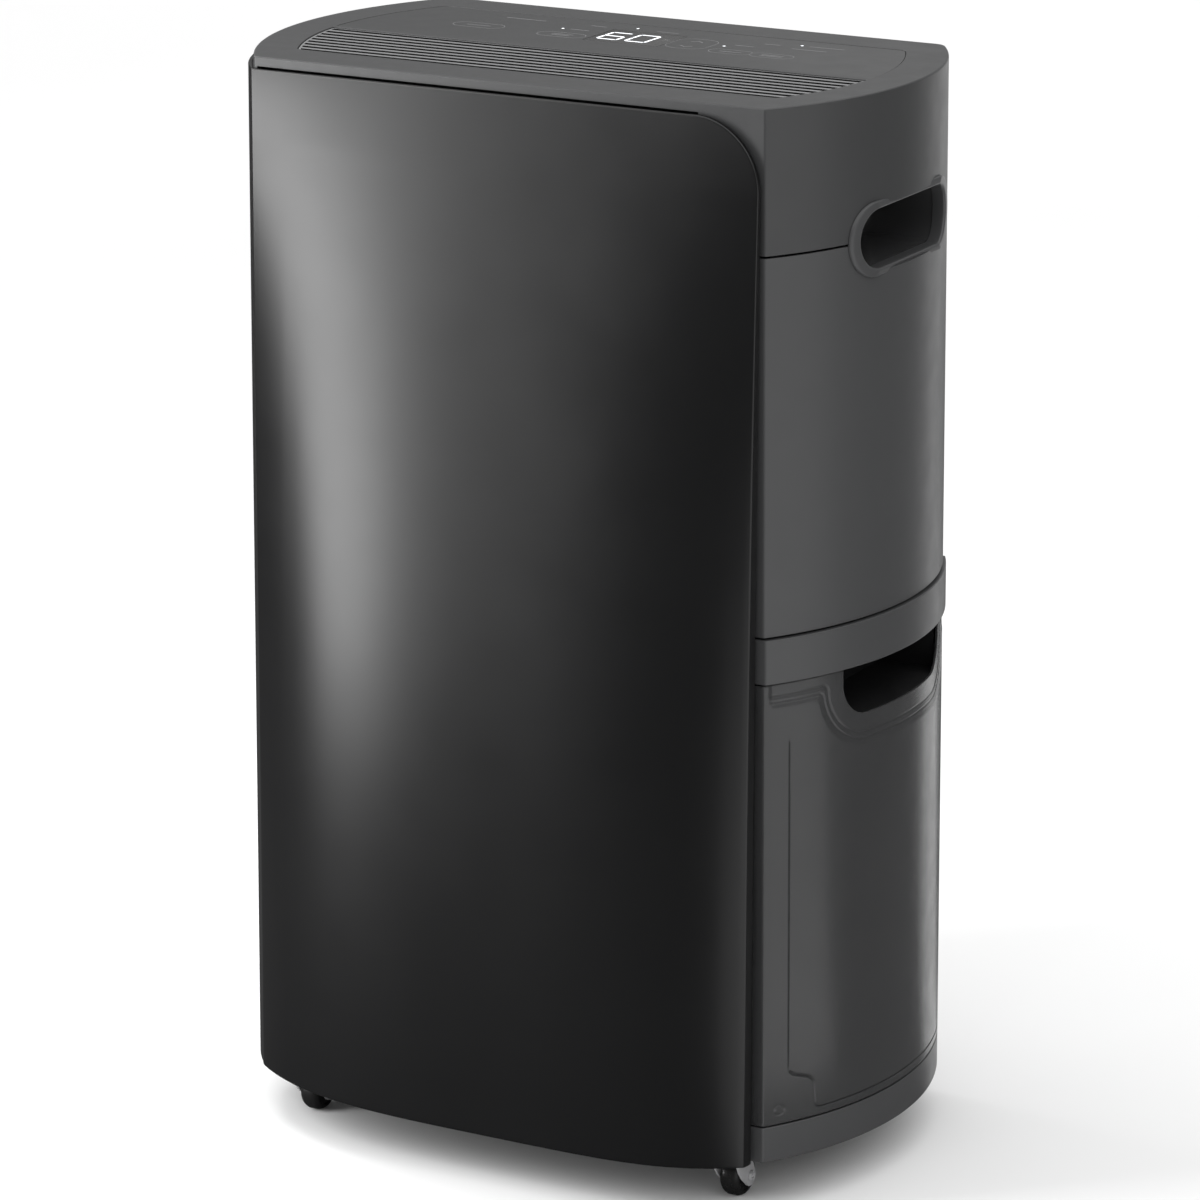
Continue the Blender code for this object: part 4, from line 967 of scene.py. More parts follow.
def panel_ring(z, foot=False):
    wrap, corner, front, crease = panel_path(z)
    path = wrap + corner + front
    outer, inner = [], []
    for i, (x, y) in enumerate(path):
        before, after = path[max(i - 1, 0)], path[min(i + 1, len(path) - 1)]
        run = Vector((after[0] - before[0], after[1] - before[1])).normalized()
        inward = Vector((-run.y, run.x))
        if i < len(wrap):
            distance = min(PANEL_TOP_Z - z, z - PANEL_LOW_Z, PANEL_WRAP_END_Y - y)
        else:
            distance = edge_distance(x, z)
        sink = edge_round(max(distance, 0.0))
        outer.append((x + inward.x * sink, y + inward.y * sink, z))
        if len(wrap) <= i < len(wrap) + len(corner):
            place_in = (crease[0] + PANEL_THICK, crease[1] + PANEL_THICK)
        elif i < len(wrap):
            place_in = (min(x + PANEL_THICK, wrap_x(y, z, 0.0007)), y)
        else:
            thick = 0.0010 + (PANEL_THICK - 0.0010) * min(1.0, edge_distance(x, z) / 0.006)
            place_in = (max(x, crease[0] + PANEL_THICK), y + thick)
        if foot:
            if i < len(wrap):
                place_in = (wrap_x(y, z, 0.0007), y)
            else:
                place_in = (max(place_in[0], crease[0] + PANEL_THICK), FRONT_Y - 0.0007)
        inner.append((*place_in, z))
    edge_x, edge_y = front[-1]
    back = edge_y + 0.6 * (FRONT_Y - edge_y)
    deep = max(back, edge_y + PANEL_THICK)
    side = [(edge_x, edge_y + (deep - edge_y) * share, z) for share in (0.6, 1.0)]
    lip_x = edge_x - 0.0022
    kept = [point for point in inner if point[0] < lip_x - 0.0001]
    while len(kept) < len(inner):
        kept.append((lip_x, kept[-1][1] if foot else panel_front_y(lip_x, z) + PANEL_THICK, z))
    if foot:
        lip = [(lip_x, kept[-1][1], z), (lip_x, kept[-1][1], z)]
    else:
        lip = [(lip_x, deep, z), (lip_x, edge_y + PANEL_THICK, z)]
    return outer + side + lip + kept[::-1]


def make_front_panel():
    heights = [0.0, 0.0001, 0.00025, 0.0005, 0.0009]
    levels = [PANEL_TOP_Z - h for h in heights]
    for k in range(1, 19):
        levels.append(PANEL_TOP_Z - PANEL_CORNER * (1 - math.cos(math.pi / 2 * k / 18)) - 0.0009)
    lower = levels[-1]
    levels += [lower + (PANEL_LOW_Z + PANEL_THICK - lower) * k / 30 for k in range(1, 31)]
    rings = [panel_ring(z) for z in levels]
    rings.append(panel_ring(PANEL_LOW_Z + PANEL_THICK, foot=True))
    for h in (0.0009, 0.0005, 0.00025, 0.0001, 0.0):
        rings.append(panel_ring(PANEL_LOW_Z + h, foot=True))
    panel = weld(loft("gloss_front", rings), 2e-6)
    place(smooth(panel, 38), "housing", "panel", "front_panel")


# ---------------------------------------------------------------- bucket
TANK_LOW_Z = BASE_TOP_Z + 0.0008
NOTCH_LEFT, NOTCH_RIGHT = MID_Y - NOTCH_HALF, MID_Y + NOTCH_HALF
STEP_AT = (0.0110, 0.0145, 0.0190)  # how far outside the notch each moulded step runs
RIM_WALL = 0.0035
LID_TOP_Z = BAND_TOP_Z - 0.0010
LID_LOW_Z = LID_TOP_Z - 0.0028
FLOAT_PIN_XZ = (0.033, LID_LOW_Z - 0.009)
TOP_SHIFT = 0.0045
BORDER_S = 0.0140
BORDER_LOW = 0.0050


def bucket_outline(z, proud, inner_x, depths=None):
    if depths:
        arc = [(side_x(z, y, -proud), y) for y in depths]
    else:
        arc = side_arc(z, -proud, FRONT_Y - proud / 2, TANK_BACK_Y)
    corner_x = half_width(z) - CORNER_RETURN + SEAM / 2
    front = FRONT_Y - proud / 2
    points = [(inner_x, TANK_FRONT_Y), (corner_x, TANK_FRONT_Y), (corner_x, front)]
    points += [*arc, (inner_x, TANK_BACK_Y)]
    return rounded(points, {3: FRONT_ROUND})


def bucket_inside(z, wall):
    return side_region(z, wall, TANK_INNER_X + wall, TANK_FRONT_Y + wall, TANK_BACK_Y - wall)


def ramp(value, low, high):
    share = max(0.0, min(1.0, (value - low) / (high - low)))
    return share * share * (3 - 2 * share)


def groove(distance, half, depth):
    return depth * max(0.0, 1 - (distance / half) ** 2) if distance < half else 0.0


def outside_notch(y, z):
    """Distance to the U notch, negative inside it."""
    across = abs(y - MID_Y) - (NOTCH_HALF - NOTCH_RADIUS)
    below = NOTCH_LOW_Z + NOTCH_RADIUS - z
    if across > 0 and below > 0:
        return math.hypot(across, below) - NOTCH_RADIUS
    return max(across, below) - NOTCH_RADIUS


def to_path(y, z, path):
    best = 1.0
    for (ay, az), (by, bz) in zip(path, path[1:]):
        dy, dz = by - ay, bz - az
        share = max(0.0, min(1.0, ((y - ay) * dy + (z - az) * dz) / (dy * dy + dz * dz)))
        best = min(best, math.hypot(y - ay - dy * share, z - az - dz * share))
    return best


def border_path():
    """The moulded border line: down beside the front corner, round the boss, and along the bottom."""
    low = TANK_LOW_Z
    points = [(FRONT_Y + BORDER_S, 0.262), (FRONT_Y + BORDER_S, low + 0.029)]
    points += [(FRONT_Y + 0.0295, low + 0.0235)]
    points += [(FRONT_Y + 0.0310, low + BORDER_LOW), (TANK_BACK_Y - 0.004, low + BORDER_LOW)]
    return rounded(points, {1: 0.006, 2: 0.007, 3: 0.003}, steps=5)


BORDER = border_path()


def tank_recess(y, z):
    """How far the moulded side lies under the tank's outer surface."""
    top = TANK_TOP_Z - z + TOP_SHIFT
    ring = outside_notch(y, z)
    blend = 0.0040
    close = max(blend - abs(top - ring), 0.0) / blend
    level = min(top, ring) - close * close * blend / 4
    sink = 0.00070 * (1 - ramp(level, STEP_AT[1] + 0.0004, STEP_AT[2]))
    sink += 0.00050 * (1 - ramp(level, STEP_AT[0] + 0.0004, STEP_AT[1] - 0.0005))
    sink += groove(abs(level - STEP_AT[0]), 0.0006, 0.00045) + groove(abs(level - STEP_AT[1]), 0.0006, 0.00045)
    sink *= ramp(y, FRONT_Y + 0.0015, FRONT_Y + 0.0060) * (1 - ramp(y, TANK_BACK_Y - 0.006, TANK_BACK_Y - 0.002))
    if z < 0.268:
        sink += groove(to_path(y, z, BORDER), 0.0007, 0.00110)
    side, up = y - FRONT_Y - 0.0090, z - TANK_LOW_Z - 0.0085
    sink += groove(abs(math.hypot(side, up) - 0.0028), 0.0006, 0.00070)
    return min(sink, 0.0016)


def tank_rows():
    rows, z = [], TANK_LOW_Z + 0.0006
    while z < TANK_LOW_Z + 0.034:
        rows.append(z)
        z += 0.00025 if abs(z - TANK_LOW_Z - BORDER_LOW) < 0.001 else 0.00045
    while z < 0.232:
        rows.append(z)
        z += 0.008
    while z < TANK_TOP_Z - 0.0006:
        rows.append(z)
        z += 0.00045
    return rows


def tank_columns():
    """Depths of the side's mesh columns, closer together beside the border line and the boss."""
    depths, y = [], FRONT_Y
    while y < TANK_BACK_Y - 0.0003:
        depths.append(y)
        from_front = y - FRONT_Y
        if abs(from_front - BORDER_S) < 0.0014:
            y += 0.00025
        elif 0.006 < from_front < 0.034:
            y += 0.00040
        else:
            y += 0.00050 if from_front < 0.006 else 0.00062
    return [*depths, TANK_BACK_Y]


def make_tank():
    columns = tank_columns()

    def ring_at(z, inset):
        points = grown(bucket_outline(z, 0.0, TANK_INNER_X, columns), -inset)
        moved = []
        for x, y in points:
            on_side = FRONT_Y + 0.0012 < y < TANK_BACK_Y - 0.0012 and x > side_x(z, y) - 0.0012
            moved.append((x - tank_recess(y, z), y, z) if on_side else (x, y, z))
        return moved

    rings = [ring_at(TANK_LOW_Z, 0.0006), ring_at(TANK_LOW_Z + 0.0002, 0.00025)]
    rings += [ring_at(z, 0.0) for z in tank_rows()]
    rings += [ring_at(TANK_TOP_Z - 0.0002, 0.0002), ring_at(TANK_TOP_Z, 0.0006)]
    tank = loft("water_tank", rings)

    low, top = TANK_LOW_Z + 0.0026, TANK_TOP_Z + 0.001
    cut(tank, slab("inside", lambda z, inset: bucket_inside(z, TANK_WALL), low, top))
    high = TANK_TOP_Z + 0.01
    corners = [(NOTCH_LEFT, high), (NOTCH_LEFT, NOTCH_LOW_Z), (NOTCH_RIGHT, NOTCH_LOW_Z), (NOTCH_RIGHT, high)]
    base = rounded(corners, {1: NOTCH_RADIUS, 2: NOTCH_RADIUS}, steps=24)
    dense_base = []
    for i, here in enumerate(base):
        after = base[(i + 1) % len(base)]
        pieces = max(1, int(math.hypot(after[0] - here[0], after[1] - here[1]) / 0.004))
        dense_base += [tuple(Vector(here).lerp(Vector(after), k / pieces)) for k in range(pieces)]
    edge = ((-0.0300, 0.0), (-0.0017, 0.0), (-0.0012, 0.00012), (-0.0009, 0.0005), (-0.0002, 0.0016),
            (0.0100, 0.0016))
    rings = [[(side_x(z, y) + lift, y, z) for y, z in grown(dense_base, out)] for lift, out in edge]
    cut(tank, loft("notch", rings))
    smooth(tank, 50)
    place(tank, "bucket", "smoke", "bucket_tank")


def make_rim():
    def band(z, inset):
        return grown(bucket_outline(z, 0.0018, TANK_INNER_X), -inset)

    rim = slab("bucket_band", band, BAND_LOW_Z, BAND_TOP_Z, 0.0005, 0.0007)
    low, top = BAND_LOW_Z - 0.001, BAND_TOP_Z + 0.001
    cut(rim, slab("inside", lambda z, inset: bucket_inside(z, RIM_WALL), low, top))
    place(smooth(rim, 35), "bucket", "cabinet", "bucket_rim")


def make_lid():
    fit = RIM_WALL + GAP
    low, top = LID_LOW_Z, LID_TOP_Z
    lid = slab("bucket_cover", lambda z, inset: grown(bucket_inside(z, fit), -inset), low, top, 0.0, 0.0005)
    pocket_low, wall = 0.2632, 0.002
    left, right = MID_Y - 0.0630, MID_Y + 0.0630
    pocket = slab("pocket", lambda z, inset: side_region(z, fit, 0.148, left, right), pocket_low, low + 0.001)
    join(lid, pocket)
    hollow = slab("hollow", lambda z, inset: side_region(z, -0.01, 0.148 + wall, left + wall, right - wall),
                  pocket_low + wall, low)
    cut(lid, hollow, cylinder("drip", "z", (0.080, 0.069), 0.012, 0.30, 0.33))
    for y in (-0.0105, 0.0075):
        join(lid, box("lug", (0.028, y, low - 0.014), (0.038, y + 0.003, low + 0.001)))
    cut(lid, cylinder("bore", "y", FLOAT_PIN_XZ, 0.00165, -0.02, 0.02))
    place(smooth(lid, 35), "bucket", "inner", "bucket_lid")
    near, far = left + 0.0025, left + 0.0150

    def tab_outline(z, inset):
        return [(0.1640 - inset, near), (0.1740 - inset, near), (0.1740 - inset, far), (0.1640 - inset, far)]

    tab = slab("latch_tab", tab_outline, 0.2835, 0.2955, 0.0, 0.0008)
    place(smooth(tab, 30, bevel=0.0006), "bucket", "cabinet", slot="inner_black")


def make_float():
    pin = turned("float_axle", [(0.0, -0.0115), (0.0012, -0.0115), (0.0015, -0.0112), (0.0015, 0.0112),
                 (0.0012, 0.0115), (0.0, 0.0115)], "y", FLOAT_PIN_XZ, steps=24)
    place(smooth(pin, 30), "bucket", "white", "float_pin")
    place(refined("bucket_float", "water_float", bevel=0.0012, segments=3), "float", "white", "bucket_float")


# ---------------------------------------------------------------- inner structure and rear
def make_structure():
    for node, material in (
        ("front_frame", "inner"), ("bay_partition", "inner"), ("deck", "inner"), ("drain_pan", "white"),
        ("power_box", "steel"), ("humidity_sensor", "white"), ("control_board", "board"),
    ):
        place(refined(node, node + "_finished", bevel=0.0004), "housing", material, node)


def make_fittings():
    x, z = DRAIN_XZ
    port = [(0.0050, 0.0909), (0.0078, 0.0909), (0.0078, 0.1193), (0.0102, 0.1193), (0.0105, 0.1196)]
    port += [(0.0105, 0.1212), (0.0102, 0.1215), (0.0072, 0.1215), (0.0070, 0.1218), (0.0070, 0.1306)]
    port += [(0.0066, 0.1310), (0.0053, 0.1310), (0.0050, 0.1307)]
    place(smooth(turned("hose_outlet", port, "y", DRAIN_XZ), 35), "housing", "inner", "drain_port")
    cap = [(0.0, 0.1314), (0.0074, 0.1314), (0.0074, 0.1220), (0.0104, 0.1220), (0.0108, 0.1224)]
    cap += [(0.0108, 0.1346), (0.0104, 0.1353), (0.0096, 0.1357), (0.0, 0.1365)]
    body = turned("cap", cap, "y", DRAIN_XZ, steps=64)
    bars = []
    for k in range(20):
        angle = 2 * math.pi * k / 20
        centre = (x + 0.0100 * math.cos(angle), z + 0.0100 * math.sin(angle))
        bars.append(cylinder("rib", "y", centre, 0.00078, 0.1228, 0.1342, 10))
    place(smooth(gather("hose_cap", [body, *bars]), 35), "drain_plug", "rubber", "drain_cap")
    gland = [(0.0040, 0.1100), (0.0098, 0.1100), (0.0098, 0.1193), (0.0127, 0.1193), (0.0130, 0.1197)]
    gland += [(0.0130, 0.1221), (0.0126, 0.1226), (0.0100, 0.1232), (0.0092, 0.1245), (0.0086, 0.1245)]
    gland += [(0.0086, 0.1255), (0.0090, 0.1262), (0.0082, 0.1270), (0.0080, 0.1280), (0.0083, 0.1288)]
    gland += [(0.0075, 0.1300), (0.0044, 0.1300), (0.0040, 0.1296)]
    place(smooth(turned("cord_bush", gland, "y", GLAND_XZ), 35), "housing", "rubber", "cord_gland")


def make_screws():
    dome = [(0.0, 0.1168), (0.0036, 0.1168), (0.0036, 0.1176)]
    dome += [(0.0030, 0.1184), (0.0016, 0.1188), (0.0, 0.1189)]
    heads = []
    for x, z in SCREW_XZ:
        head = turned("screw", dome, "y", (x, z), steps=32)
        for turn in (0.4, 0.4 + math.pi / 2):
            bar = box("cross", (-0.0019, 0.1180, -0.0003), (0.0019, 0.1200, 0.0003))
            bar.data.transform(Matrix.Translation((x, 0, z)) @ Matrix.Rotation(turn, 4, "Y"))
            cut(head, bar)
        heads.append(head)
    place(smooth(gather("rear_screws", heads), 30), "housing", "steel", slot="cabinet_grey")


def make_intake():
    low, top, half = 0.352, 0.532, 0.136
    start, face_y, wall = BACK_Y + GAP, 0.141, 0.0025

    def outline(z, inset):
        corners = [(-half, start), (half, start), (half, face_y), (-half, face_y)]
        return grown(rounded(corners, {2: 0.005, 3: 0.005}), -inset)

    grille = slab("intake_grille", outline, low, top, 0.0015, 0.0006, steps=4)
    face = face_y - wall
    cut(grille, box("slot", (-half + wall, 0.115, low + wall), (half - wall, face, top + 0.01)))
    count = 13
    pitch = (top - low - 0.020) / count
    for i in range(count):
        z = low + 0.012 + i * pitch
        profile = [(face - 0.002, z + 0.0008), (face_y - 0.0006, z), (0.150, z - 0.001), (0.150, z + 0.0085)]
        profile += [(face_y - 0.0006, z + 0.0075), (face - 0.002, z + 0.0083)]
        cut(grille, prism("slot", profile, "x", -0.120, 0.120))
    near, far = face + 0.0004, face_y - 0.0006
    for x in (-0.060, 0.0, 0.060):
        join(grille, box("stay", (x - 0.0010, near, low + 0.006), (x + 0.0010, far, top - 0.006)))
    place(smooth(grille, 35), "housing", "cabinet", "rear_grille")

    edge = half - wall - 0.0008
    frame_low = low + wall + GAP
    front, back = face - 0.0080, face - 0.0006
    frame = box("cassette", (-edge, front, frame_low), (edge, back, top + 0.002))
    border = 0.010
    for left, right in ((-edge + border, -0.003), (0.003, edge - border)):
        cut(frame, box("inside", (left, 0.12, frame_low + border), (right, 0.15, top - border)))
    tab = box("tab", (-0.022, front, top), (0.022, back, top + 0.009))
    join(frame, tab)
    place(smooth(frame, 35, bevel=0.0007, segments=3), "filter", "inner", "filter_frame")

    threads = []
    left, right = -edge + 0.0040, edge - 0.0040
    bottom, upper = frame_low + 0.0030, top - 0.0030
    thick, step = 0.00050, 0.0021
    first, second = front - 0.0013, front - 0.0013 + thick
    across = int((right - left) / step)
    for i in range(across + 1):
        x = left + (right - left - thick) * i / across
        threads.append(box("thread", (x, first, bottom), (x + thick, first + thick, upper)))
    up = int((upper - bottom) / step)
    for i in range(up + 1):
        z = bottom + (upper - bottom - thick) * i / up
        threads.append(box("thread", (left, second - 0.0001, z), (right, second + thick - 0.0001, z + thick)))
    place(smooth(gather("filter_net", threads), 60), "filter", "net", "filter_mesh")


def tube(name, points, radius, steps=20, rounds=14):
    """A pipe along a smooth route through the points."""
    knots = [Vector(p) for p in points]
    lead = knots[0] + (knots[1] - knots[0]).normalized() * 2 * radius
    tail = knots[-1] + (knots[-2] - knots[-1]).normalized() * 2 * radius
    middle = [lead, *knots[1:-1], tail]
    padded = [2 * middle[0] - middle[1], *middle, 2 * middle[-1] - middle[-2]]
    route = [knots[0]]
    for k in range(1, len(padded) - 2):
        a, b, c, d = padded[k - 1 : k + 3]
        for i in range(steps // 2):
            t = i / (steps // 2)
            square, cube = 2 * a - 5 * b + 4 * c - d, 3 * b - a - 3 * c + d
            route.append(0.5 * (2 * b + (c - a) * t + square * t**2 + cube * t**3))
    route += [padded[-2], knots[-1]]
    rings = []
    side = None
    for i, here in enumerate(route):
        run = (route[min(i + 1, len(route) - 1)] - route[max(i - 1, 0)]).normalized()
        if side is None:
            side = run.orthogonal().normalized()
        side = (side - run * side.dot(run)).normalized()
        other = run.cross(side)
        turns = [2 * math.pi * k / rounds for k in range(rounds)]
        rings.append([here + side * radius * math.cos(a) + other * radius * math.sin(a) for a in turns])
    return smooth(loft(name, rings), 50)


def make_coil(node, depth):
    """Thin fins on tubes between two end plates, with return bends at one end."""
    front, back = depth
    half, low, top = 0.125, 0.350, 0.510
    middle = (front + back) / 2
    parts = []
    count = 118
    for i in range(count):
        x = -half + 0.0022 + (2 * half - 0.0046) * i / (count - 1)
        parts.append(box("fin", (x, front + 0.001, low + 0.001), (x + 0.0003, back - 0.001, top - 0.001)))
    for x in (-half, half - 0.0015):
        parts.append(box("plate", (x, front, low), (x + 0.0015, back, top)))
    pitch = (top - low) / 4
    pipe = 0.0035
    across = Vector((0.0, pipe, 0.0))
    for i in range(4):
        z = low + pitch * (i + 0.5)
        for end in (-0.010, 0.010):
            parts.append(cylinder("pipe", "x", (middle, z + end), pipe, -half + 0.0005, half, 20))
        rings = []
        for k in range(17):
            turn = math.pi * k / 16
            out = Vector((math.sin(turn), 0.0, math.cos(turn)))
            centre = Vector((half - 0.0005, middle, z)) + out * 0.010
            turns = [2 * math.pi * j / 16 for j in range(16)]
            rings.append([centre + out * pipe * math.cos(a) + across * math.sin(a) for a in turns])
        parts.append(loft("bend", rings))
    place(smooth(gather(node + "_coil", parts), 40), "housing", "fins", node)


def make_fan():
    for node in ("fan_scroll", "fan_inlet_ring", "outlet_duct"):
        place(refined(node, node + "_shell", 35, bevel=0.0003), "housing", "inner", node)
    radius, front, back, plate = 0.074, -0.0580, -0.0120, 0.0020
    hub = [(0.0041, front), (radius, front), (radius, front + plate), (0.020, front + plate)]
    hub += [(0.014, front + 0.006), (0.012, front + 0.010), (0.012, front + 0.0235)]
    hub += [(0.0115, front + 0.024), (0.0041, front + 0.024)]
    ring = [(0.066, back - 0.003), (radius, back - 0.003), (radius, back), (0.066, back)]
    parts = [turned("hub", hub, "y", (0.0, FAN_Z), 64), turned("ring", ring, "y", (0.0, FAN_Z), 64)]
    blades = 40
    for k in range(blades):
        start = 2 * math.pi * k / blades
        inner_edge, outer_edge = [], []
        for i in range(6):
            reach = 0.0628 + 0.0106 * i / 5
            angle = start + 0.13 * (i / 5) ** 2
            half = 0.0006 / reach
            inner_edge.append((reach * math.cos(angle - half), FAN_Z + reach * math.sin(angle - half)))
            outer_edge.append((reach * math.cos(angle + half), FAN_Z + reach * math.sin(angle + half)))
        parts.append(prism("blade", inner_edge + outer_edge[::-1], "y", front + plate / 2, back - 0.001))
    place(smooth(gather("blower_wheel", parts), 35), "fan", "inner", "fan_wheel")
    shaft = [(0.0, -0.0900), (0.0036, -0.0900), (0.0040, -0.0896)]
    shaft += [(0.0040, -0.0154), (0.0036, -0.0150), (0.0, -0.0150)]
    place(smooth(turned("blower_shaft", shaft, "y", (0.0, FAN_Z), 32), 30), "fan", "steel", "fan_shaft")
    motor = [(0.0042, -0.0955), (0.026, -0.0955), (0.032, -0.0945), (0.0365, -0.0915), (0.038, -0.0880)]
    motor += [(0.038, -0.0820), (0.038, -0.0815), (0.038, -0.0720), (0.0365, -0.0698), (0.030, -0.0665)]
    motor += [(0.0042, -0.0665)]
    place(smooth(turned("blower_motor", motor, "y", (0.0, FAN_Z), 64), 35), "housing", "motor", "fan_motor")


def make_compressor():
    (x, y), r = COMPRESSOR_XY, 0.052
    shell = [(0.0, 0.0555), (r - 0.014, 0.0555), (r - 0.007, 0.0575)]
    shell += [(r - 0.003, 0.0610), (r - 0.0008, 0.0650)]
    shell += [(r, 0.0700), (r, 0.1790), (r - 0.0006, 0.1796), (r - 0.0006, 0.1812), (r, 0.1818), (r, 0.2350)]
    shell += [(r - 0.0015, 0.2415), (r - 0.005, 0.2480), (r - 0.011, 0.2535)]
    shell += [(r - 0.018, 0.2570), (0.018, 0.2607)]
    shell += [(0.0, 0.2610)]
    body = turned("compressor_shell", shell, "z", COMPRESSOR_XY, 80)
    reach = 0.060
    spokes = [math.radians(degrees) for degrees in (100, 220, 340)]
    feet = [(x + reach * math.cos(a), y + reach * math.sin(a)) for a in spokes]
    outline = []
    for fx, fy in feet:
        outward = math.atan2(fy - y, fx - x)
        for i in range(13):
            angle = outward + math.pi * (i / 12 - 0.5)
            outline.append((fx + 0.011 * math.cos(angle), fy + 0.011 * math.sin(angle)))
    join(body, prism("plate", outline, "z", 0.0530, 0.0565))
    place(smooth(body, 35), "housing", "enamel", "compressor")
    for number, foot in enumerate(feet, 1):
        low = BASE_TOP_Z + GAP
        grommet = [(0.0, low), (0.0086, low), (0.0090, low + 0.0004), (0.0090, 0.0444), (0.0086, 0.0452)]
        grommet += [(0.0070, 0.0466), (0.0070, 0.0476), (0.0086, 0.0520), (0.0090, 0.0527), (0.0, 0.0527)]
        piece = turned(f"grommet_{number}", grommet, "z", foot, 32)
        place(smooth(piece, 35), "housing", "rubber", f"compressor_grommet_{number}")
    tank = [(0.0, 0.1000), (0.0080, 0.1000), (0.0115, 0.1018)]
    tank += [(0.0140, 0.1050), (0.0150, 0.1090), (0.0150, 0.1910)]
    tank += [(0.0140, 0.1950), (0.0115, 0.1982), (0.0080, 0.2000), (0.0, 0.2000)]
    tank = turned("accumulator", tank, "z", ACCUMULATOR_XY)
    place(smooth(tank, 35), "housing", "enamel", "suction_accumulator")


def make_pipes():
    (x, y), end = COMPRESSOR_XY, -0.125 - GAP
    hot = [(x, y, 0.2615), (x, y, 0.278), (-0.110, y, 0.295), (-0.140, y, 0.303), (-0.150, y, 0.315)]
    hot += [(-0.151, 0.030, 0.335), (-0.151, 0.029, 0.440), (-0.147, 0.027, 0.472), (-0.138, 0.027, 0.480)]
    hot += [(end, 0.027, 0.480)]
    cold = [(*ACCUMULATOR_XY, 0.2005), (*ACCUMULATOR_XY, 0.225)]
    cold += [(-0.140, -0.030, 0.245), (-0.165, 0.010, 0.262)]
    cold += [(-0.168, 0.045, 0.285), (-0.162, 0.062, 0.312), (-0.160, 0.065, 0.335), (-0.157, 0.067, 0.380)]
    cold += [(-0.146, 0.069, 0.406), (-0.138, 0.069, 0.410), (end, 0.069, 0.410)]
    small = [(end, 0.027, 0.372), (-0.133, 0.027, 0.372), (-0.139, 0.048, 0.368), (-0.133, 0.069, 0.372)]
    small += [(end, 0.069, 0.372)]
    for node, route, radius in (("discharge_pipe", hot, 0.0035), ("suction_pipe", cold, 0.0045),
                                ("capillary_tube", small, 0.0015)):
        place(tube(node.replace("_", "_copper_"), route, radius), "housing", "copper", node)


def make_capacitor():
    can = [(0.0, 0.1200), (0.0135, 0.1200), (0.0150, 0.1215)]
    can += [(0.0150, 0.1900), (0.0145, 0.1906), (0.0145, 0.1916)]
    can += [(0.0150, 0.1922), (0.0150, 0.1940), (0.0143, 0.1947), (0.0, 0.1947)]
    place(smooth(turned("capacitor_can", can, "z", (-0.060, -0.081)), 35), "housing", "can", "run_capacitor")


# ---------------------------------------------------------------- casters
def both_ways(x, side):
    """A profile of (radius, place) from its half, which is given outwards from x."""
    return [(r, x + out) for r, out in side] + [(r, x - out) for r, out in side[::-1]]


def make_caster(word, x, y):
    radius, half, trail, axle = WHEEL_RADIUS, 0.0060, 0.009, 0.0020
    axle_y = y + trail
    plate_low, plate_high = 0.0255, 0.0268
    cheek_x, cheek = half + 0.0010, 0.0014
    wide = cheek_x + cheek
    fork = box("fork_" + word, (x - wide, y - 0.008, plate_low), (x + wide, y + 0.009, plate_high))
    outline = [(y - 0.008, plate_low + 0.0008), (y - 0.0066, 0.0222)]
    outline += [(y - 0.0040, 0.0175), (y - 0.0004, 0.0130)]
    for i in range(19):
        angle = math.radians(215 + 155 * i / 18)
        outline.append((axle_y + 0.0060 * math.cos(angle), radius + 0.0060 * math.sin(angle)))
    outline.append((y + 0.009, plate_low + 0.0008))
    for start in (x - wide, x + cheek_x):
        join(fork, prism("cheek", outline, "x", start, start + cheek))
    join(fork, cylinder("stem", "z", (x, y), 0.0040, plate_low + 0.0005, BASE_TOP_Z + CABINET_LIFT - GAP))
    cut(fork, cylinder("bore", "x", (axle_y, radius), axle + 0.0001, x - 0.02, x + 0.02))
    smooth(fork, 35, bevel=0.00035, segments=2)
    place(fork, f"swivel_{word}", "zinc", f"caster_fork_{word}", lift=0.0)

    side = [(0.0021, half), (0.0042, half), (0.0046, half - 0.0004), (0.0048, half - 0.0010)]
    side += [(0.0082, half - 0.0012), (0.0087, half - 0.0008), (0.0089, half - 0.0001), (0.0094, half)]
    side += [(0.0104, half - 0.0003), (0.0112, half - 0.0010)]
    side += [(0.0119, half - 0.0021), (radius, half - 0.0036)]
    wheel = turned("wheel_" + word, both_ways(x, side), "x", (axle_y, radius), 72)
    place(smooth(wheel, 40), f"wheel_{word}", "wheel", f"caster_wheel_{word}", lift=0.0)

    start = wide + 0.0002
    head = start + 0.0011
    side = [(0.0, head - 0.0005), (0.0010, head - 0.0005), (0.0013, head)]
    side += [(0.0021, head), (0.0023, head - 0.0004)]
    side += [(0.0025, head - 0.0004), (0.0027, head - 0.0001)]
    side += [(0.0030, head - 0.0004), (0.0032, head - 0.0008)]
    side += [(0.0032, start), (axle, start)]
    pin = turned("axle_" + word, both_ways(x, side), "x", (axle_y, radius), 40)
    place(smooth(pin, 30), f"swivel_{word}", "zinc", f"caster_axle_{word}", lift=0.0)


# ---------------------------------------------------------------- studio
def sheet(name, corners, material):
    mesh = bpy.data.meshes.new(name)
    mesh.from_pydata(corners, [], [tuple(range(len(corners)))])
    mesh.materials.append(material)
    return linked(name, mesh)


def make_floor():
    material, tree, shader = node_tree("studio_floor")
    coloured(tree, shader, noise(tree, 0.8, 3.0), (0.86,) * 3, (0.89,) * 3)
    roughened(tree, shader, noise(tree, 6.0), 0.80, 0.90)
    shader.inputs["Specular IOR Level"].default_value = 0.1
    reach = 60.0
    corners = [(-reach, -reach, 0), (reach, -reach, 0), (reach, reach, 0), (-reach, reach, 0)]
    floor = sheet("floor", corners, material)


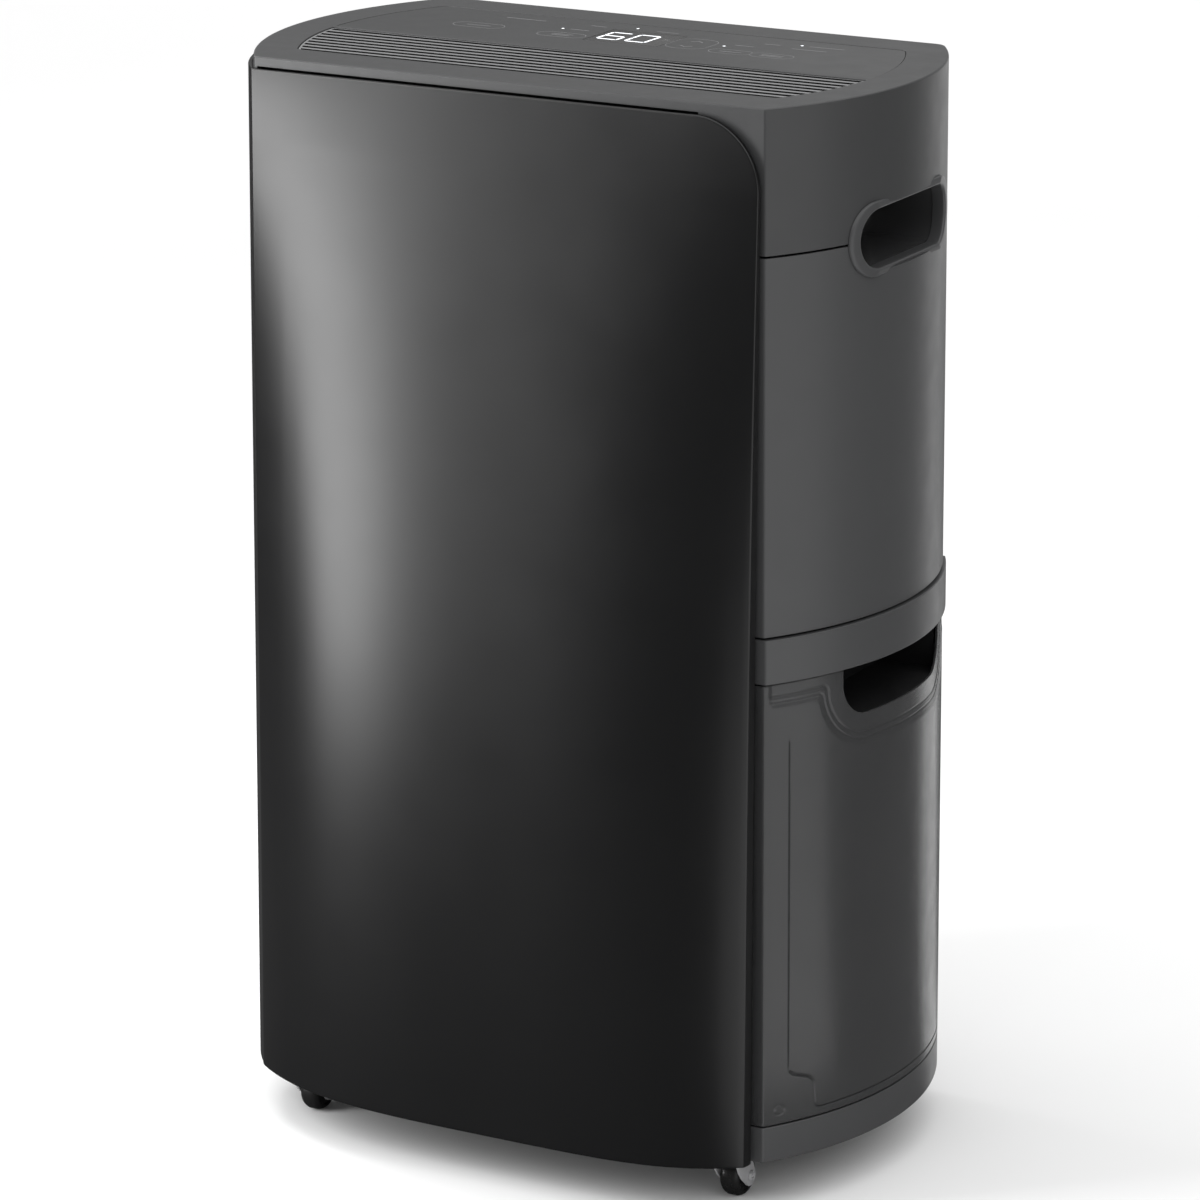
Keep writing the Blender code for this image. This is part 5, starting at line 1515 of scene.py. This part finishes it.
def area_light(name, place_at, aim, width, height, power):
    data = bpy.data.lights.new(name, "AREA")
    data.shape = "RECTANGLE"
    data.size, data.size_y = width, height
    data.energy = power
    lamp = linked(name, data)
    lamp.location = place_at
    lamp.rotation_euler = (Vector(aim) - Vector(place_at)).to_track_quat("-Z", "Y").to_euler()
    lamp.visible_camera = False


def flag(name, tone, corners):
    """A dark board that only reflections see."""
    material, tree, shader = node_tree(name + "_cloth")
    grey = (tone,) * 3
    coloured(tree, shader, noise(tree, 5.0), tinted(grey, 0.95), tinted(grey, 1.05))
    roughened(tree, shader, noise(tree, 9.0), 0.90, 0.98)
    shader.inputs["Specular IOR Level"].default_value = 0.0
    board = sheet(name, corners, material)
    board.visible_camera = False
    board.visible_diffuse = False
    board.visible_shadow = False
    board.visible_transmission = False


def make_studio():
    make_floor()
    world = bpy.data.worlds.new("studio")
    world.use_nodes = True
    background = world.node_tree.nodes["Background"]
    background.inputs["Color"].default_value = (1.0, 1.0, 1.0, 1.0)
    background.inputs["Strength"].default_value = 0.45
    bpy.context.scene.world = world
    data = bpy.data.lights.new("overhead", "SUN")
    data.energy = 2.3
    data.angle = math.radians(110)
    lamp = linked("overhead", data)
    lamp.rotation_euler = (math.radians(4), math.radians(14), 0.0)
    area_light("front_left", (-0.72, -0.74, 0.66), (-0.10, -0.10, 0.60), 0.36, 1.20, 13.2)
    area_light("top_left", (-0.75, 0.10, 1.10), (-0.12, 0.0, TOP_Z), 0.35, 0.35, 3.2)
    for name, tone, height, (ax, ay), (bx, by) in (
        ("flag_front", 0.08, 1.3, (-2.2, -1.2), (0.8, -1.2)),
        ("flag_left", 0.08, 1.05, (-1.2, -1.2), (-1.2, 2.5)),
        ("flag_right", 0.12, 1.3, (1.14, 0.25), (0.75, 0.80)),
        ("flag_behind", 0.12, 1.3, (0.75, 0.80), (0.46, 1.05)),
    ):
        flag(name, tone, [(ax, ay, 0.0), (bx, by, 0.0), (bx, by, height), (ax, ay, height)])
    for name, tone, z, outline in (
        ("flag_floor", 0.08, 0.001, ((-1.2, -1.2), (0.95, -1.2), (0.17, -0.12), (0.0, 2.5), (-1.2, 2.5))),
        ("flag_floor_right", 0.12, 0.001,
         ((0.22, -0.02), (1.14, 0.25), (0.75, 0.80), (0.46, 1.05), (0.19, 0.10))),
        ("flag_floor_near", 0.12, 0.002, ((0.15, -0.13), (0.34, -0.16), (0.40, 0.10), (0.18, 0.10))),
    ):
        flag(name, tone, [(x, y, z) for x, y in outline])


def make_camera():
    azimuth, down = math.radians(28.913), math.radians(15.963)
    distance = 3.1984
    aim = Vector((0.0, 0.0078, 0.2952 + CABINET_LIFT))
    towards = Vector((-math.sin(azimuth) * math.cos(down), math.cos(azimuth) * math.cos(down), -math.sin(down)))
    data = bpy.data.cameras.new("camera")
    data.lens, data.sensor_width = 166.63, 36.0
    data.clip_end = 200.0
    camera = linked("camera", data)
    camera.location = aim - towards * distance
    camera.rotation_euler = towards.to_track_quat("-Z", "Y").to_euler()
    bpy.context.scene.camera = camera


# ---------------------------------------------------------------- the whole object
def main():
    make_top_cover()
    make_grille()
    make_controls()
    make_side_covers()
    make_rear_cover()
    make_base()
    make_handles()
    make_front_panel()
    make_tank()
    make_rim()
    make_lid()
    make_float()
    make_structure()
    make_fittings()
    make_screws()
    make_intake()
    make_coil("condenser", (0.012, 0.042))
    make_coil("evaporator", (0.054, 0.084))
    make_fan()
    make_compressor()
    make_pipes()
    make_capacitor()
    for row, y in CASTER_YS.items():
        for side, column in ((-1, "left"), (1, "right")):
            make_caster(f"{row}_{column}", side * CASTER_X, y)
    make_studio()
    make_camera()
    bpy.context.scene.view_settings.view_transform = "Standard"


main()
